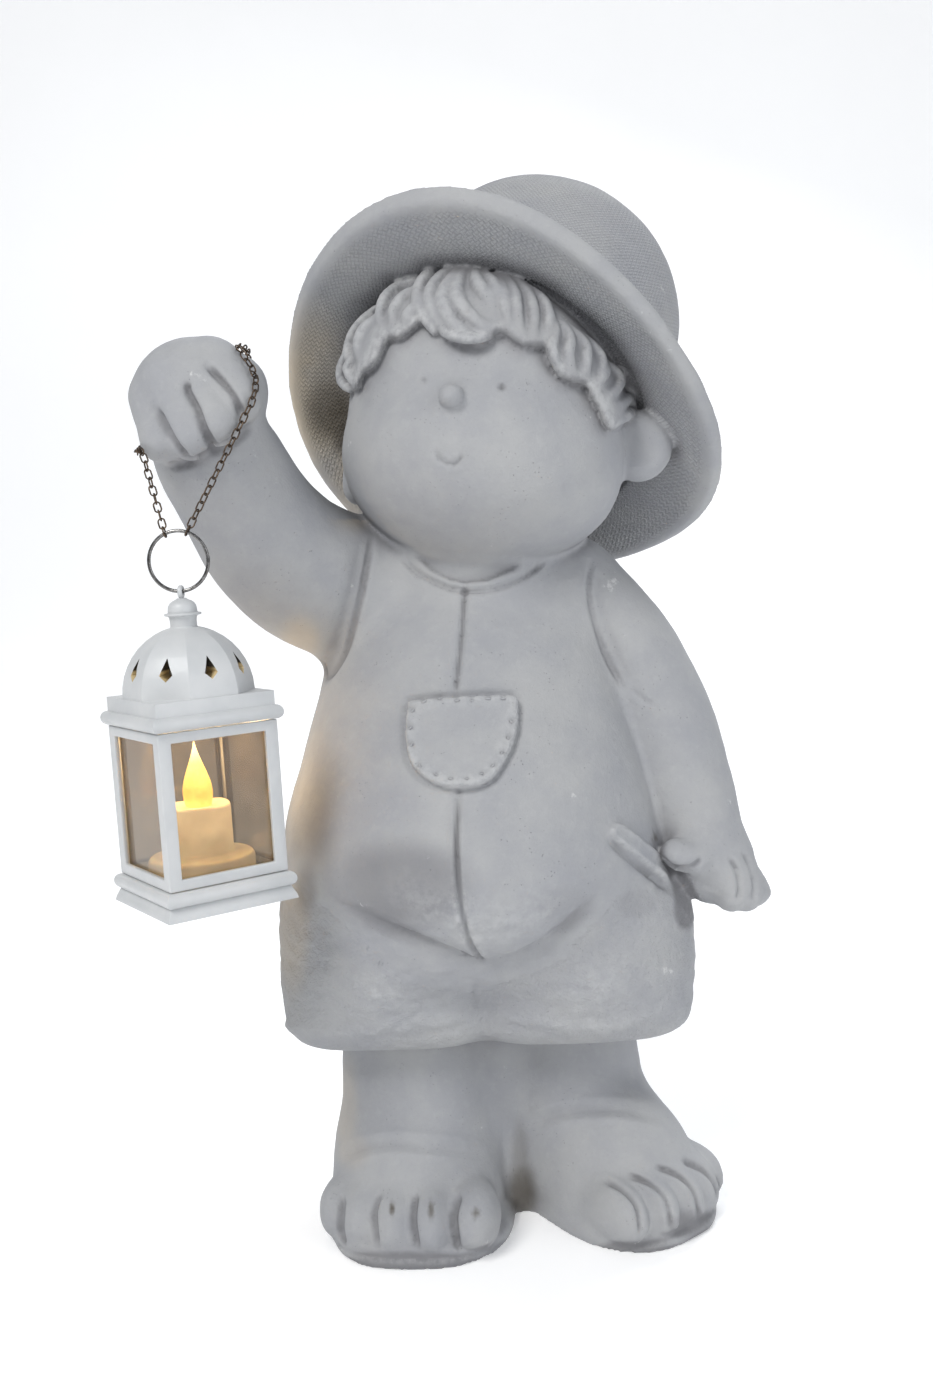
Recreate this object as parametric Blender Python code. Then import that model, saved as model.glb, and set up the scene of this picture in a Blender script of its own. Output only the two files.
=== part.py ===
"""A garden statue of a barefoot boy in a sun hat, holding up a small lantern that hangs from a chain.

One unit of the statue's own shapes is a 490th of FIGURE_HEIGHT, so its pose and proportions follow that one value. The
lantern, its ring and its chain are bought pieces with their own sizes, in metres. Z is up, the statue stands on z = 0,
faces -Y, and +X is its own left side.
"""

import math

import bmesh
import bpy
from mathutils import Euler, Matrix, Vector
from mathutils.bvhtree import BVHTree

# Statue
FIGURE_HEIGHT = 0.490
UNIT = FIGURE_HEIGHT / 490
FIGURE_FACES = 5600
GAP = 0.0003

# Lantern
LANTERN_BODY = 0.052
LANTERN_TURN = math.radians(38.6)
POST_WIDTH = 0.0055
FRAME_WALL = 0.0022
BASE_HEIGHT = 0.0114
BODY_HEIGHT = 0.0632
BOTTOM_RAIL = 0.0045
TOP_RAIL = 0.0042
CORNICE_HEIGHT = 0.0119
ROOF_WALL = 0.0016
DOME_HEIGHT = 0.0280
KITE_HEIGHT = 0.0093
KITE_WIDTH = 0.0058
PANE_THICKNESS = 0.0010
CANDLE_WIDTH = 0.0260
CANDLE_FOOT = 0.0430
CANDLE_HEIGHT = 0.0290
FLAME_HEIGHT = 0.0270
FLAME_WIDTH = 0.0120

# Ring and chain
RING_WIDTH = 0.0260
RING_WIRE = 0.0015
EYE_HOLE = 0.0027
LINK_WIRE = 0.0007
LINK_WIDTH = 0.0035
LINK_PITCH = 0.0037
LINK_OVERLAP = 0.0002


def turn(yaw=0, pitch=0, roll=0):
    """Columns are the turned axes: roll about Y, then pitch about X, then yaw about Z, in degrees."""
    yaw, pitch, roll = map(math.radians, (yaw, pitch, roll))
    return Matrix.Rotation(yaw, 3, "Z") @ Matrix.Rotation(pitch, 3, "X") @ Matrix.Rotation(roll, 3, "Y")


UPRIGHT = turn()
HEAD = Vector((17, -6, 358))
HEAD_TURN = turn(yaw=-12, pitch=-8, roll=8)
LEFT_FOOT = Vector((44, 2, 0))
LEFT_FOOT_TURN = turn(yaw=38)
HAT_AXIS = Vector((0.306, 0.708, 0.636)).normalized()
HAT_RIM = Vector((19.4, 10, 375.2))

# Each form is centre, half sizes. Each limb is a row of points with a radius at each.
# Torso sections from the seat up: height, centre x and y, half width and half depth.
TORSO = [(108, 2, 10, 60, 54), (124, 2, 5, 79, 72), (146, 2, 3, 90, 84), (170, 1, 0, 92, 88), (195, 1, -3, 87.5, 85),
         (220, 2, -3, 80, 80), (245, 3, 0, 73, 70), (270, 4, 4, 66, 59), (292, 5, 8, 57, 46), (308, 6, 9, 45, 36),
         (318, 7, 8, 34, 29)]
SHOULDERS = [(-38, 8, 298, 26), (2, 10, 304, 27), (48, 8, 291, 26)]
NECK = [(8, 0, 285, 36), (12, -2, 325, 36)]
SHORTS = [((-40, 6, 133), (54, 70, 45)), ((45, 6, 133), (56, 70, 45))]
HEMS = [((-40, 3, 111), (52, 61, 24)), ((45, 3, 111), (53.5, 61, 24))]
SEAT_FOLD = [(5, 8, 20, 14), (5, 8, 112, 14)]
WELT = [(68, -60, 187, 3.6), (80, -53, 175, 4.4), (92, -46, 162, 3.6)]
LEGS = [[(-31, 4, 112, 39), (-31, 4, 62, 39.5), (-34, 4, 24, 42)], [(39, 8, 112, 32), (39, 8, 62, 33), (42, 6, 24, 37)]]
RIGHT_FOOT_FORMS = [((-34, -27, 9), (43, 51, 27)), ((-34, -12, 28), (38, 44, 34)), ((-34, 18, 16), (38, 30, 30))]
LEFT_FOOT_FORMS = [((1, -28, 9), (40, 50, 26)), ((0, -14, 27), (34, 46, 32)), ((0, 12, 16), (34, 30, 30))]
FOOT_WEB = [((8, 10, 6), (30, 32, 44))]
RIGHT_TOES = [((-5, -58, 13), (12.5, 20, 16)), ((-24.5, -60, 13), (10.4, 19, 15)), ((-42, -57, 12.5), (9.8, 18, 14.5)),
              ((-57.5, -51, 12), (9, 17, 14)), ((-70.5, -42, 11.5), (8, 16, 13))]
LEFT_TOES = [((-27, -58, 13), (12.5, 20, 16)), ((-8, -62, 13), (10, 18, 15)), ((8.5, -61, 12.5), (9.2, 17, 14.5)),
             ((23, -56, 12), (8.4, 16, 14)), ((34.5, -46, 11.5), (7.8, 15, 13))]
RIGHT_ARM = [(-40, 6, 292, 33), (-60, -4, 301, 32), (-76, -14, 312, 30.5), (-86, -24, 327, 28), (-94, -34, 345, 26),
             (-101, -46, 364, 25)]
PALM = [((-103, -55, 384), (28, 24, 25))]
FINGERS = [[(-120, -64, 384, 9), (-115, -72, 365, 9)], [(-113, -68, 391, 10), (-102, -76, 366, 10)],
           [(-103, -67, 395, 10), (-90.5, -76, 371, 10)], [(-94, -64, 397, 9.5), (-82, -71, 382, 9.5)]]
THUMB = [((-80, -56, 386), (10, 14, 14))]
LEFT_ARM = [(51, 6, 286, 26), (70.5, 2, 262, 26.5), (88, -4, 228, 25), (97, -12, 196, 23), (104, -20, 176, 18.5)]
LEFT_PALM = ((111, -25, 164), (20, 12, 18))
LEFT_FINGERS = [[(106, -34, 178, 9), (98, -42, 176, 8), (91, -46, 178, 7)], [(116, -31, 158, 7), (121, -32, 147, 6.2)],
                [(119, -28, 159, 7), (126, -29, 146.5, 6.2)], [(121, -24, 160, 7), (129.5, -24, 148, 6)],
                [(122, -19, 162, 6.6), (131, -18, 151, 5.6)]]
SKULL = ((17, -6, 363), (60, 56, 57))
HAIR_CAP = ((15, -4, 381), (58, 52, 52))
CHEEKS = ((0, -8, -11), (59, 52, 38))
NOSE = ((0, -61, 6), (6.4, 8, 6.4))
EARS = [((86, -2, 350), (15, 7.5, 15.5), 25), ((-46, 22, 352), (13, 7.5, 15.5), -45)]
# Distance from the hat's axis, height along it from the rim. The first run is the outside, the second the inside.
HAT_OUTSIDE = [(0, 132), (23, 130.5), (44, 123), (59, 109), (68, 90), (71.5, 67), (74, 42), (78.5, 27), (85.5, 17),
               (93.5, 9.5), (101.5, 5)]
HAT_INSIDE = [(105.8, 0.2), (101.5, -4.6), (94.5, -2.6), (88, 0.5), (80, 5.5), (72, 12), (64, 19), (0, 24)]
# Hair locks: root, tip, half width, strands, sideways bend.
LOCKS = [
    ((9, -22, 431), (14, -54, 400), 15, 5, -5),
    ((32, -33, 419), (40, -51, 398), 8.5, 3, 2),
    ((52, -40, 400), (59, -49, 381), 8.5, 3, 2),
    ((67, -35, 385), (73, -38, 363), 8, 3, 2),
    ((-12, -17, 424), (-19, -40, 405), 7.5, 3, -3),
    ((-26, -15, 413), (-32, -34, 394), 7, 3, -3),
    ((-37, -18, 398), (-38, -30, 385), 5, 2, -2),
    ((50, 40, 336), (46, 46, 318), 9, 3, 0),
    ((20, 52, 334), (17, 58, 316), 9, 3, 0),
    ((-10, 44, 336), (-12, 50, 318), 9, 3, 0),
]
POCKET = [(-18, 253), (-17.5, 240), (-16, 228), (-9, 220), (2, 216), (13, 218), (21, 223), (27, 236), (31.5, 254)]
# The chain's way over the fist, from the ring's left side round the back of the hand to its right side.
CHAIN_WAY = [(-121, -78, 352), (-131, -62, 366), (-128, -40, 384), (-112, -28, 398), (-97, -36, 408), (-88, -52, 412),
             (-80, -72, 404), (-76, -88, 391), (-80, -92, 374)]
HANG = Vector((-107.6, -89.8, 315.5))


def clear_scene():
    for obj in list(bpy.data.objects):
        bpy.data.objects.remove(obj, do_unlink=True)


def material(name, colour, roughness, metallic=0.0, transmission=0.0):
    made = bpy.data.materials.new(name)
    made.use_nodes = True
    shader = made.node_tree.nodes["Principled BSDF"]
    shader.inputs["Base Color"].default_value = (*colour, 1)
    shader.inputs["Roughness"].default_value = roughness
    shader.inputs["Metallic"].default_value = metallic
    shader.inputs["Transmission Weight"].default_value = transmission
    return made


def add_object(name, mesh, surface=None):
    obj = bpy.data.objects.new(name, mesh)
    bpy.context.scene.collection.objects.link(obj)
    if surface:
        mesh.materials.clear()
        mesh.materials.append(surface)
    return obj


def mesh_of(name, bm):
    bmesh.ops.recalc_face_normals(bm, faces=bm.faces[:])
    mesh = bpy.data.meshes.new(name)
    bm.to_mesh(mesh)
    bm.free()
    return mesh


def evaluated(obj, name):
    graph = bpy.context.evaluated_depsgraph_get()
    return bpy.data.meshes.new_from_object(obj.evaluated_get(graph), depsgraph=graph)


def cutter(name, bm):
    obj = add_object(name, mesh_of(name, bm))
    obj.hide_render = True
    obj.display_type = "WIRE"
    return obj


def boolean(obj, other, operation):
    modifier = obj.modifiers.new(operation.lower(), "BOOLEAN")
    modifier.operation = operation
    modifier.solver = "EXACT"
    modifier.object = other


def smooth_line(points, count):
    """Points along a smooth curve through the given ones, count to each span. Extra values ride along."""
    made = []
    last = len(points) - 1
    for i in range(last):
        a, b, c, d = (points[min(max(j, 0), last)] for j in (i - 1, i, i + 1, i + 2))
        for k in range(count):
            t = k / count
            made.append(tuple(
                0.5 * (2 * q + (r - p) * t + (2 * p - 5 * q + 4 * r - s) * t * t + (3 * q - p - 3 * r + s) * t ** 3)
                for p, q, r, s in zip(a, b, c, d)))
    return made + [tuple(points[-1])]


def ball(bm, centre, half, axes=UPRIGHT, power=2.0, detail=32):
    """An ellipsoid, in statue units. A power above 2 squares it up."""
    made = bmesh.ops.create_uvsphere(bm, u_segments=detail, v_segments=detail // 2, radius=1)["verts"]
    for vert in made:
        p = Vector([math.copysign(abs(c) ** (2 / power), c) * h for c, h in zip(vert.co, half)])
        vert.co = (Vector(centre) + axes @ p) * UNIT


def limb(bm, points, detail=14):
    """A tapered bar through points that each end in a radius: the hull of each two neighbouring balls."""
    for a, b in zip(points, points[1:]):
        made = []
        for x, y, z, r in (a, b):
            for i in range(1, detail // 2):
                for j in range(detail):
                    up, round_ = math.pi * i / (detail // 2), 2 * math.pi * j / detail
                    p = Vector((math.sin(up) * math.cos(round_), math.sin(up) * math.sin(round_), math.cos(up)))
                    made.append(bm.verts.new((Vector((x, y, z)) + r * p) * UNIT))
            made += [bm.verts.new((Vector((x, y, z + s * r))) * UNIT) for s in (-1, 1)]
        hull = bmesh.ops.convex_hull(bm, input=made)
        inner = [v for v in hull["geom_interior"] + hull["geom_unused"] if isinstance(v, bmesh.types.BMVert)]
        bmesh.ops.delete(bm, geom=list(set(inner)), context="VERTS")


def sections(bm, rows, count):
    """A closed body through level ellipses."""
    layers = []
    for z, x, y, wide, deep in rows:
        turns = [2 * math.pi * i / count for i in range(count)]
        layers.append([bm.verts.new(Vector((x + wide * math.cos(a), y + deep * math.sin(a), z)) * UNIT) for a in turns])
    for low, high in zip(layers, layers[1:]):
        for i in range(count):
            bm.faces.new((low[i - 1], low[i], high[i], high[i - 1]))
    bm.faces.new(layers[0])
    bm.faces.new(layers[-1])


def melted(bm, voxel, rounds):
    """One skin over all the overlapping forms, with their creases softened."""
    obj = add_object("forms", mesh_of("forms", bm))
    skin = obj.modifiers.new("skin", "REMESH")
    skin.mode = "VOXEL"
    skin.voxel_size = voxel * UNIT
    soften = obj.modifiers.new("soften", "SMOOTH")
    soften.factor = 0.5
    soften.iterations = rounds
    mesh = evaluated(obj, "forms")
    bpy.data.objects.remove(obj, do_unlink=True)
    return mesh


def body_skin():
    bm = bmesh.new()
    sections(bm, smooth_line(TORSO, 3), 48)
    for centre, half in SHORTS:
        ball(bm, centre, half, power=2.8, detail=48)
    for centre, half in HEMS:
        ball(bm, centre, half, power=4, detail=48)
    limb(bm, SHOULDERS)
    limb(bm, NECK)
    limb(bm, smooth_line(RIGHT_ARM, 3))
    for centre, half in PALM:
        ball(bm, centre, half)
    limb(bm, smooth_line(LEFT_ARM, 3))
    ball(bm, *LEFT_PALM, axes=turn(roll=38))
    return melted(bm, 3, 14)


def legs_skin():
    bm = bmesh.new()
    for leg in LEGS:
        limb(bm, leg, 20)
    limb(bm, SEAT_FOLD)
    for centre, half in RIGHT_FOOT_FORMS + FOOT_WEB:
        ball(bm, centre, half)
    for centre, half in LEFT_FOOT_FORMS:
        ball(bm, LEFT_FOOT + LEFT_FOOT_TURN @ Vector(centre), half, LEFT_FOOT_TURN)
    return melted(bm, 3, 10)


def head_skin():
    bm = bmesh.new()
    ball(bm, *SKULL)
    ball(bm, *HAIR_CAP)
    ball(bm, HEAD + HEAD_TURN @ Vector(CHEEKS[0]), CHEEKS[1], HEAD_TURN)
    return melted(bm, 3, 10)


def hat(bm):
    """A lathe-turned hat whose brim waves and widens round its rim."""
    up = (Vector((0, 0, 1)) - HAT_AXIS.z * HAT_AXIS).normalized()
    side = up.cross(HAT_AXIS)
    line = smooth_line(HAT_OUTSIDE, 3) + smooth_line(HAT_INSIDE, 3)
    verts = [bm.verts.new((0, r, h)) for r, h in line]
    edges = [bm.edges.new(pair) for pair in zip(verts, verts[1:])]
    bmesh.ops.spin(bm, geom=verts + edges, axis=(0, 0, 1), cent=(0, 0, 0), steps=72, angle=2 * math.pi, use_merge=True)
    new = [v for v in bm.verts if v.is_valid]
    bmesh.ops.remove_doubles(bm, verts=new, dist=0.01)
    for vert in bm.verts:
        r, h = math.hypot(vert.co.x, vert.co.y), vert.co.z
        angle = math.atan2(vert.co.x, vert.co.y)
        share = min(max((r - 68) / 32, 0), 1.2)
        wide = r + share * 3.7 * math.cos(3 * angle)
        high = h + share * (3.9 * math.cos(2 * angle) + 0.9 * math.sin(2 * angle) - 1.7 * math.sin(3 * angle))
        spot = HAT_RIM + (side * math.sin(angle) + up * math.cos(angle)) * wide + HAT_AXIS * high
        vert.co = spot * UNIT


def hair(bm, head):
    """Locks of a few strands each that lie on the head and bulge away from it half way along."""
    tree = BVHTree.FromPolygons([v.co for v in head.vertices], [p.vertices for p in head.polygons])
    for root, tip, width, strands, bend in LOCKS:
        root, tip = Vector(root), Vector(tip)
        along = (tip - root).normalized()
        side = along.cross((root + tip) / 2 - HEAD).normalized()
        for i in range(strands):
            across = (2 * i + 1) / strands - 1
            line = []
            for step in range(6):
                t = step / 5
                shift = across * width * (1 - 0.45 * t) + bend * math.sin(math.pi * t)
                spot, out = tree.find_nearest((root.lerp(tip, t) + side * shift) * UNIT)[:2]
                spot = spot / UNIT + out * (1.5 + 4 * math.sin(math.pi * t) - 1.5 * across * across)
                line.append((*spot, width / strands * (1.35 - 0.35 * t)))
            limb(bm, line, 10)


def ears(bm):
    for centre, half, yaw in EARS:
        axes = HEAD_TURN @ turn(yaw=yaw)
        rim = [Vector(centre) + axes @ Vector((half[0] * 0.62 * math.sin(a), 0, half[2] * 0.66 * math.cos(a)))
               for a in (2 * math.pi * i / 12 for i in range(13))]
        limb(bm, [(*p, half[1] * 0.72) for p in rim], 10)
        ball(bm, Vector(centre) + axes @ Vector((0, 4, 0)), (half[0] * 0.8, 4, half[2] * 0.8), axes)


def pocket(bm, skin):
    """A patch that follows the chest, standing a little proud of it."""
    tree = BVHTree.FromPolygons([v.co for v in skin.vertices], [p.vertices for p in skin.polygons])
    middle = Vector((5, 0, 238))
    rings = []
    for share in (0, 0.35, 0.7, 0.93, 1.0):
        ring = []
        for x, z in smooth_line(POCKET + POCKET[:1], 2)[:-1]:
            p = middle.lerp(Vector((x, 0, z)), share)
            hit = tree.ray_cast(Vector((p.x, -150, p.z)) * UNIT, Vector((0, 1, 0)))[0]
            ring.append(hit)
        rings.append(ring)
    lift = (2.6, 2.6, 2.6, 2.3, -4)
    back = [bm.verts.new(p + Vector((0, 5 * UNIT, 0))) for p in rings[-1]]
    layers = [[bm.verts.new(p - Vector((0, d * UNIT, 0))) for p in ring] for ring, d in zip(rings[1:], lift[1:])]
    layers.append(back)
    tip = bm.verts.new(rings[0][0] - Vector((0, lift[0] * UNIT, 0)))
    n = len(back)
    for i in range(n):
        j = (i + 1) % n
        bm.faces.new((tip, layers[0][i], layers[0][j]))
        for a, b in zip(layers, layers[1:]):
            bm.faces.new((a[i], b[i], b[j], a[j]))
    bm.faces.new(back)


def figure(surface):
    """The cast statue: softened masses, then crisp details, under one skin, cut flat at the ground."""
    skin, head = body_skin(), head_skin()
    masses = [skin, legs_skin(), head]
    bm = bmesh.new()
    hat(bm)
    hair(bm, head)
    ears(bm)
    pocket(bm, skin)
    ball(bm, HEAD + HEAD_TURN @ Vector(NOSE[0]), NOSE[1], HEAD_TURN, detail=16)
    for centre, half in RIGHT_TOES:
        ball(bm, centre, half, detail=20)
    for centre, half in LEFT_TOES:
        ball(bm, LEFT_FOOT + LEFT_FOOT_TURN @ Vector(centre), half, LEFT_FOOT_TURN, detail=20)
    for finger in FINGERS + LEFT_FINGERS + [WELT]:
        limb(bm, finger, 16)
    for centre, half in THUMB:
        ball(bm, centre, half)
    bmesh.ops.recalc_face_normals(bm, faces=bm.faces[:])
    for mesh in masses:
        bm.from_mesh(mesh)
    skin = melted(bm, 1.7, 4)
    ground = bmesh.new()
    bmesh.ops.create_cube(ground, size=1, matrix=Matrix.Translation((0, 0, -0.5)) @ Matrix.Scale(1, 4))
    ground_block = cutter("ground_cutter", ground)
    obj = add_object("figure", skin, surface)
    thin = obj.modifiers.new("fewer_faces", "DECIMATE")
    thin.ratio = FIGURE_FACES / (2 * len(skin.polygons))
    boolean(obj, ground_block, "DIFFERENCE")
    return obj


def stack(bm, rings, sides, place=None):
    """A solid through level outlines, each a regular polygon given as half width over its flats, and height."""
    place = place or Matrix.Identity(4)
    layers = []
    for half, z in rings:
        if half == 0:
            layers.append([bm.verts.new(place @ Vector((0, 0, z)))])
            continue
        reach = half / math.cos(math.pi / sides)
        turns = [math.pi * (2 * i + 1) / sides for i in range(sides)]
        layers.append([bm.verts.new(place @ Vector((reach * math.cos(a), reach * math.sin(a), z))) for a in turns])
    for low, high in zip(layers, layers[1:]):
        for i in range(sides):
            j = (i + 1) % sides
            if len(low) == 1:
                bm.faces.new((low[0], high[j], high[i]))
            elif len(high) == 1:
                bm.faces.new((low[i], low[j], high[0]))
            else:
                bm.faces.new((low[i], low[j], high[j], high[i]))
    for layer in (layers[0], layers[-1]):
        if len(layer) > 1:
            bm.faces.new(layer)


def roll(half, low, high, proud):
    """A half-round moulding as level outlines."""
    middle, tall = (low + high) / 2, (high - low) / 2
    turns = [math.radians(a) for a in (-90, -50, -18, 18, 50, 90)]
    return [(half + proud * math.cos(a), middle + tall * math.sin(a)) for a in turns]


def box(bm, low, high):
    size = [b - a for a, b in zip(low, high)]
    middle = [(a + b) / 2 for a, b in zip(low, high)]
    bmesh.ops.create_cube(bm, size=1, matrix=Matrix.Translation(middle) @ Matrix.Diagonal((*size, 1)))


def lantern(surfaces, hang):
    """Base, glazed frame, roof, panes, candle and flame, hung with the eye on the ring at the hang point."""
    b = LANTERN_BODY / 2
    body_low = BASE_HEIGHT + GAP
    body_high = BASE_HEIGHT + BODY_HEIGHT
    roof_low = body_high + GAP
    dome_low = body_high + CORNICE_HEIGHT
    dome_half = 0.955 * b
    neck = dome_low + DOME_HEIGHT
    eye_middle = neck + 0.0137
    ring_low = EYE_HOLE / 2 - RING_WIRE / 2 - GAP
    foot = hang - Vector((0, 0, RING_WIDTH / 2 - RING_WIRE / 2)) - Vector((0, 0, eye_middle + ring_low))
    made = {}

    def piece(name, bm, z, surface):
        obj = add_object(name, mesh_of(name, bm), surface)
        obj.location = foot + Vector((0, 0, z))
        obj.rotation_euler = Euler((0, 0, LANTERN_TURN))
        made[name] = obj
        return obj

    def hollow(obj, bm, label):
        tool = cutter(label, bm)
        tool.location, tool.rotation_euler = foot, obj.rotation_euler
        boolean(obj, tool, "DIFFERENCE")

    bm = bmesh.new()
    plinth = 0.47 * BASE_HEIGHT
    stack(bm, [(1.10 * b, 0), (1.085 * b, 0.15 * BASE_HEIGHT), (1.02 * b, plinth)]
          + roll(1.005 * b, plinth, BASE_HEIGHT, 0.095 * b), 4)
    base = piece("lantern_base", bm, 0, surfaces["white"])
    bm = bmesh.new()
    wall = FRAME_WALL
    stack(bm, [(1.10 * b - wall, -0.001), (1.0 * b - wall, BASE_HEIGHT - wall)], 4)
    hollow(base, bm, "base_cutter")

    bm = bmesh.new()
    box(bm, (-b, -b, 0), (b, b, body_high - body_low))
    frame = piece("lantern_frame", bm, body_low, surfaces["white"])
    inner = b - FRAME_WALL
    bm = bmesh.new()
    box(bm, (-inner, -inner, body_low - 0.002), (inner, inner, body_high + 0.002))
    hollow(frame, bm, "frame_cutter")
    sill, head = body_low + BOTTOM_RAIL, body_high - TOP_RAIL
    bm = bmesh.new()
    half = b - POST_WIDTH
    box(bm, (-half, -2 * b, sill), (half, 2 * b, head))
    hollow(frame, bm, "window_cutter")
    bm = bmesh.new()
    box(bm, (-2 * b, -half, sill), (2 * b, half, head))
    hollow(frame, bm, "side_window_cutter")

    reach = inner - GAP - PANE_THICKNESS
    wide = min(half + 0.001, reach - GAP)
    for i in range(4):
        bm = bmesh.new()
        spin = Matrix.Rotation(i * math.pi / 2, 4, "Z")
        box(bm, (reach, -wide, 0), (reach + PANE_THICKNESS, wide, head - sill + 0.002))
        bm.transform(spin)
        piece(f"pane_{i + 1}", bm, sill - 0.001, surfaces["glass"])

    bm = bmesh.new()
    mid = roof_low + 0.48 * CORNICE_HEIGHT
    stack(bm, roll(1.0 * b, roof_low, mid, 0.09 * b) + [(0.99 * b, mid), (0.99 * b, dome_low)], 4,
          Matrix.Translation((0, 0, -roof_low)))
    roof = piece("lantern_roof", bm, roof_low, surfaces["white"])
    bm = bmesh.new()
    arc = [math.radians(a) for a in (0, 16, 32, 48, 62, 75)]
    stack(bm, [(dome_half, dome_low - 0.0005)] + [(dome_half * math.cos(a), dome_low + DOME_HEIGHT * math.sin(a)) for a in arc]
          + [(0.1 * b, neck)], 8)
    dome = cutter("dome_form", bm)
    dome.location, dome.rotation_euler = foot, roof.rotation_euler
    boolean(roof, dome, "UNION")
    bm = bmesh.new()
    top = neck - 0.0012
    stack(bm, [(0.0042, top - 0.0012), (0.0046, top), (0.0034, top + 0.0018), (0.0036, top + 0.0028), (0.0052, top + 0.0044),
               (0.0059, top + 0.0066), (0.0075, top + 0.0068), (0.0075, top + 0.0078), (0.0059, top + 0.0080),
               (0.0050, top + 0.0102), (0.0032, top + 0.0119), (0.0016, top + 0.0126)], 12)
    knob = cutter("knob_form", bm)
    knob.location, knob.rotation_euler = foot, roof.rotation_euler
    boolean(roof, knob, "UNION")
    bm = bmesh.new()
    stack(bm, [(EYE_HOLE / 2 + 0.0014, -0.0009), (EYE_HOLE / 2 + 0.0014, 0.0009)], 12)
    eye = cutter("eye_form", bm)
    eye.matrix_world = Matrix.Translation(foot + Vector((0, 0, eye_middle))) @ Matrix.Rotation(math.pi / 2, 4, "Y")
    boolean(roof, eye, "UNION")
    bm = bmesh.new()
    stack(bm, [(EYE_HOLE / 2, -0.004), (EYE_HOLE / 2, 0.004)], 12)
    hole = cutter("eye_cutter", bm)
    hole.matrix_world = eye.matrix_world
    boolean(roof, hole, "DIFFERENCE")
    bm = bmesh.new()
    stack(bm, [(0.99 * b - wall, roof_low - 0.001), (0.99 * b - wall, dome_low - wall)], 4)
    hollow(roof, bm, "cornice_cutter")
    bm = bmesh.new()
    thin, low = ROOF_WALL, dome_low - wall - 0.0002
    stack(bm, [(dome_half - thin, low)]
          + [((dome_half - thin) * math.cos(a), dome_low + (DOME_HEIGHT - 1.4 * thin) * math.sin(a)) for a in arc], 8)
    hollow(roof, bm, "dome_cutter")
    bm = bmesh.new()
    for i in range(8):
        spin = Matrix.Rotation(i * math.pi / 4, 4, "Z")
        kite = [(0, 0.58), (-0.5, 0.0), (0, -0.42), (0.5, 0.0)]
        middle = dome_low + 0.38 * DOME_HEIGHT
        near, far = ([bm.verts.new(spin @ Vector((x, u * KITE_WIDTH, middle + v * KITE_HEIGHT))) for u, v in kite]
                     for x in (0.5 * b, 1.3 * b))
        bm.faces.new(near)
        bm.faces.new(far)
        for j in range(4):
            bm.faces.new((near[j], near[j - 1], far[j - 1], far[j]))
    hollow(roof, bm, "kite_cutter")

    bm = bmesh.new()
    r, f, tall = CANDLE_WIDTH / 2, CANDLE_FOOT / 2, CANDLE_HEIGHT
    stack(bm, [(f - 0.0008, 0), (f, 0.0008), (f, 0.0064), (f - 0.0012, 0.0078), (r + 0.0015, 0.0084), (r, 0.0092),
               (r, tall - 0.0010), (r - 0.0008, tall), (r - 0.0022, tall), (r - 0.0034, tall - 0.0014), (0, tall - 0.0018)], 16)
    candle_low = body_low
    piece("candle", bm, candle_low, surfaces["wax"])
    bm = bmesh.new()
    w, h = FLAME_WIDTH / 2, FLAME_HEIGHT
    stack(bm, [(0.30 * w, 0), (0.82 * w, 0.11 * h), (w, 0.26 * h), (0.90 * w, 0.42 * h), (0.62 * w, 0.60 * h),
               (0.30 * w, 0.80 * h), (0, h)], 12)
    piece("flame", bm, candle_low + tall - 0.0014 + GAP, surfaces["flame"])
    return foot


def ring(surface, hang):
    bm = bmesh.new()
    major, minor = RING_WIDTH / 2 - RING_WIRE / 2, RING_WIRE / 2
    loop(bm, [Vector((major * math.cos(a), 0, major * math.sin(a))) for a in (2 * math.pi * i / 22 for i in range(22))],
         Vector((0, 1, 0)), minor, 5)
    obj = add_object("hanging_ring", mesh_of("hanging_ring", bm), surface)
    obj.location = hang


def loop(bm, points, normal, radius, sides):
    """A closed wire round the points, which lie in the plane of the given normal. One edge of it points inward."""
    middle = sum(points, Vector()) / len(points)
    layers = []
    for i, p in enumerate(points):
        before, after = (p - points[i - 1]).normalized(), (points[(i + 1) % len(points)] - p).normalized()
        inward = normal.cross(before + after).normalized()
        if inward.dot(middle - p) < 0:
            inward.negate()
        mitre = 1 / abs(inward.dot(normal.cross(before)))
        turns = [2 * math.pi * k / sides for k in range(sides)]
        layers.append([bm.verts.new(p + radius * (inward * mitre * math.cos(a) + normal * math.sin(a))) for a in turns])
    for a, b in zip(layers, layers[1:] + layers[:1]):
        for k in range(sides):
            bm.faces.new((a[k], a[k - 1], b[k - 1], b[k]))


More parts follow.
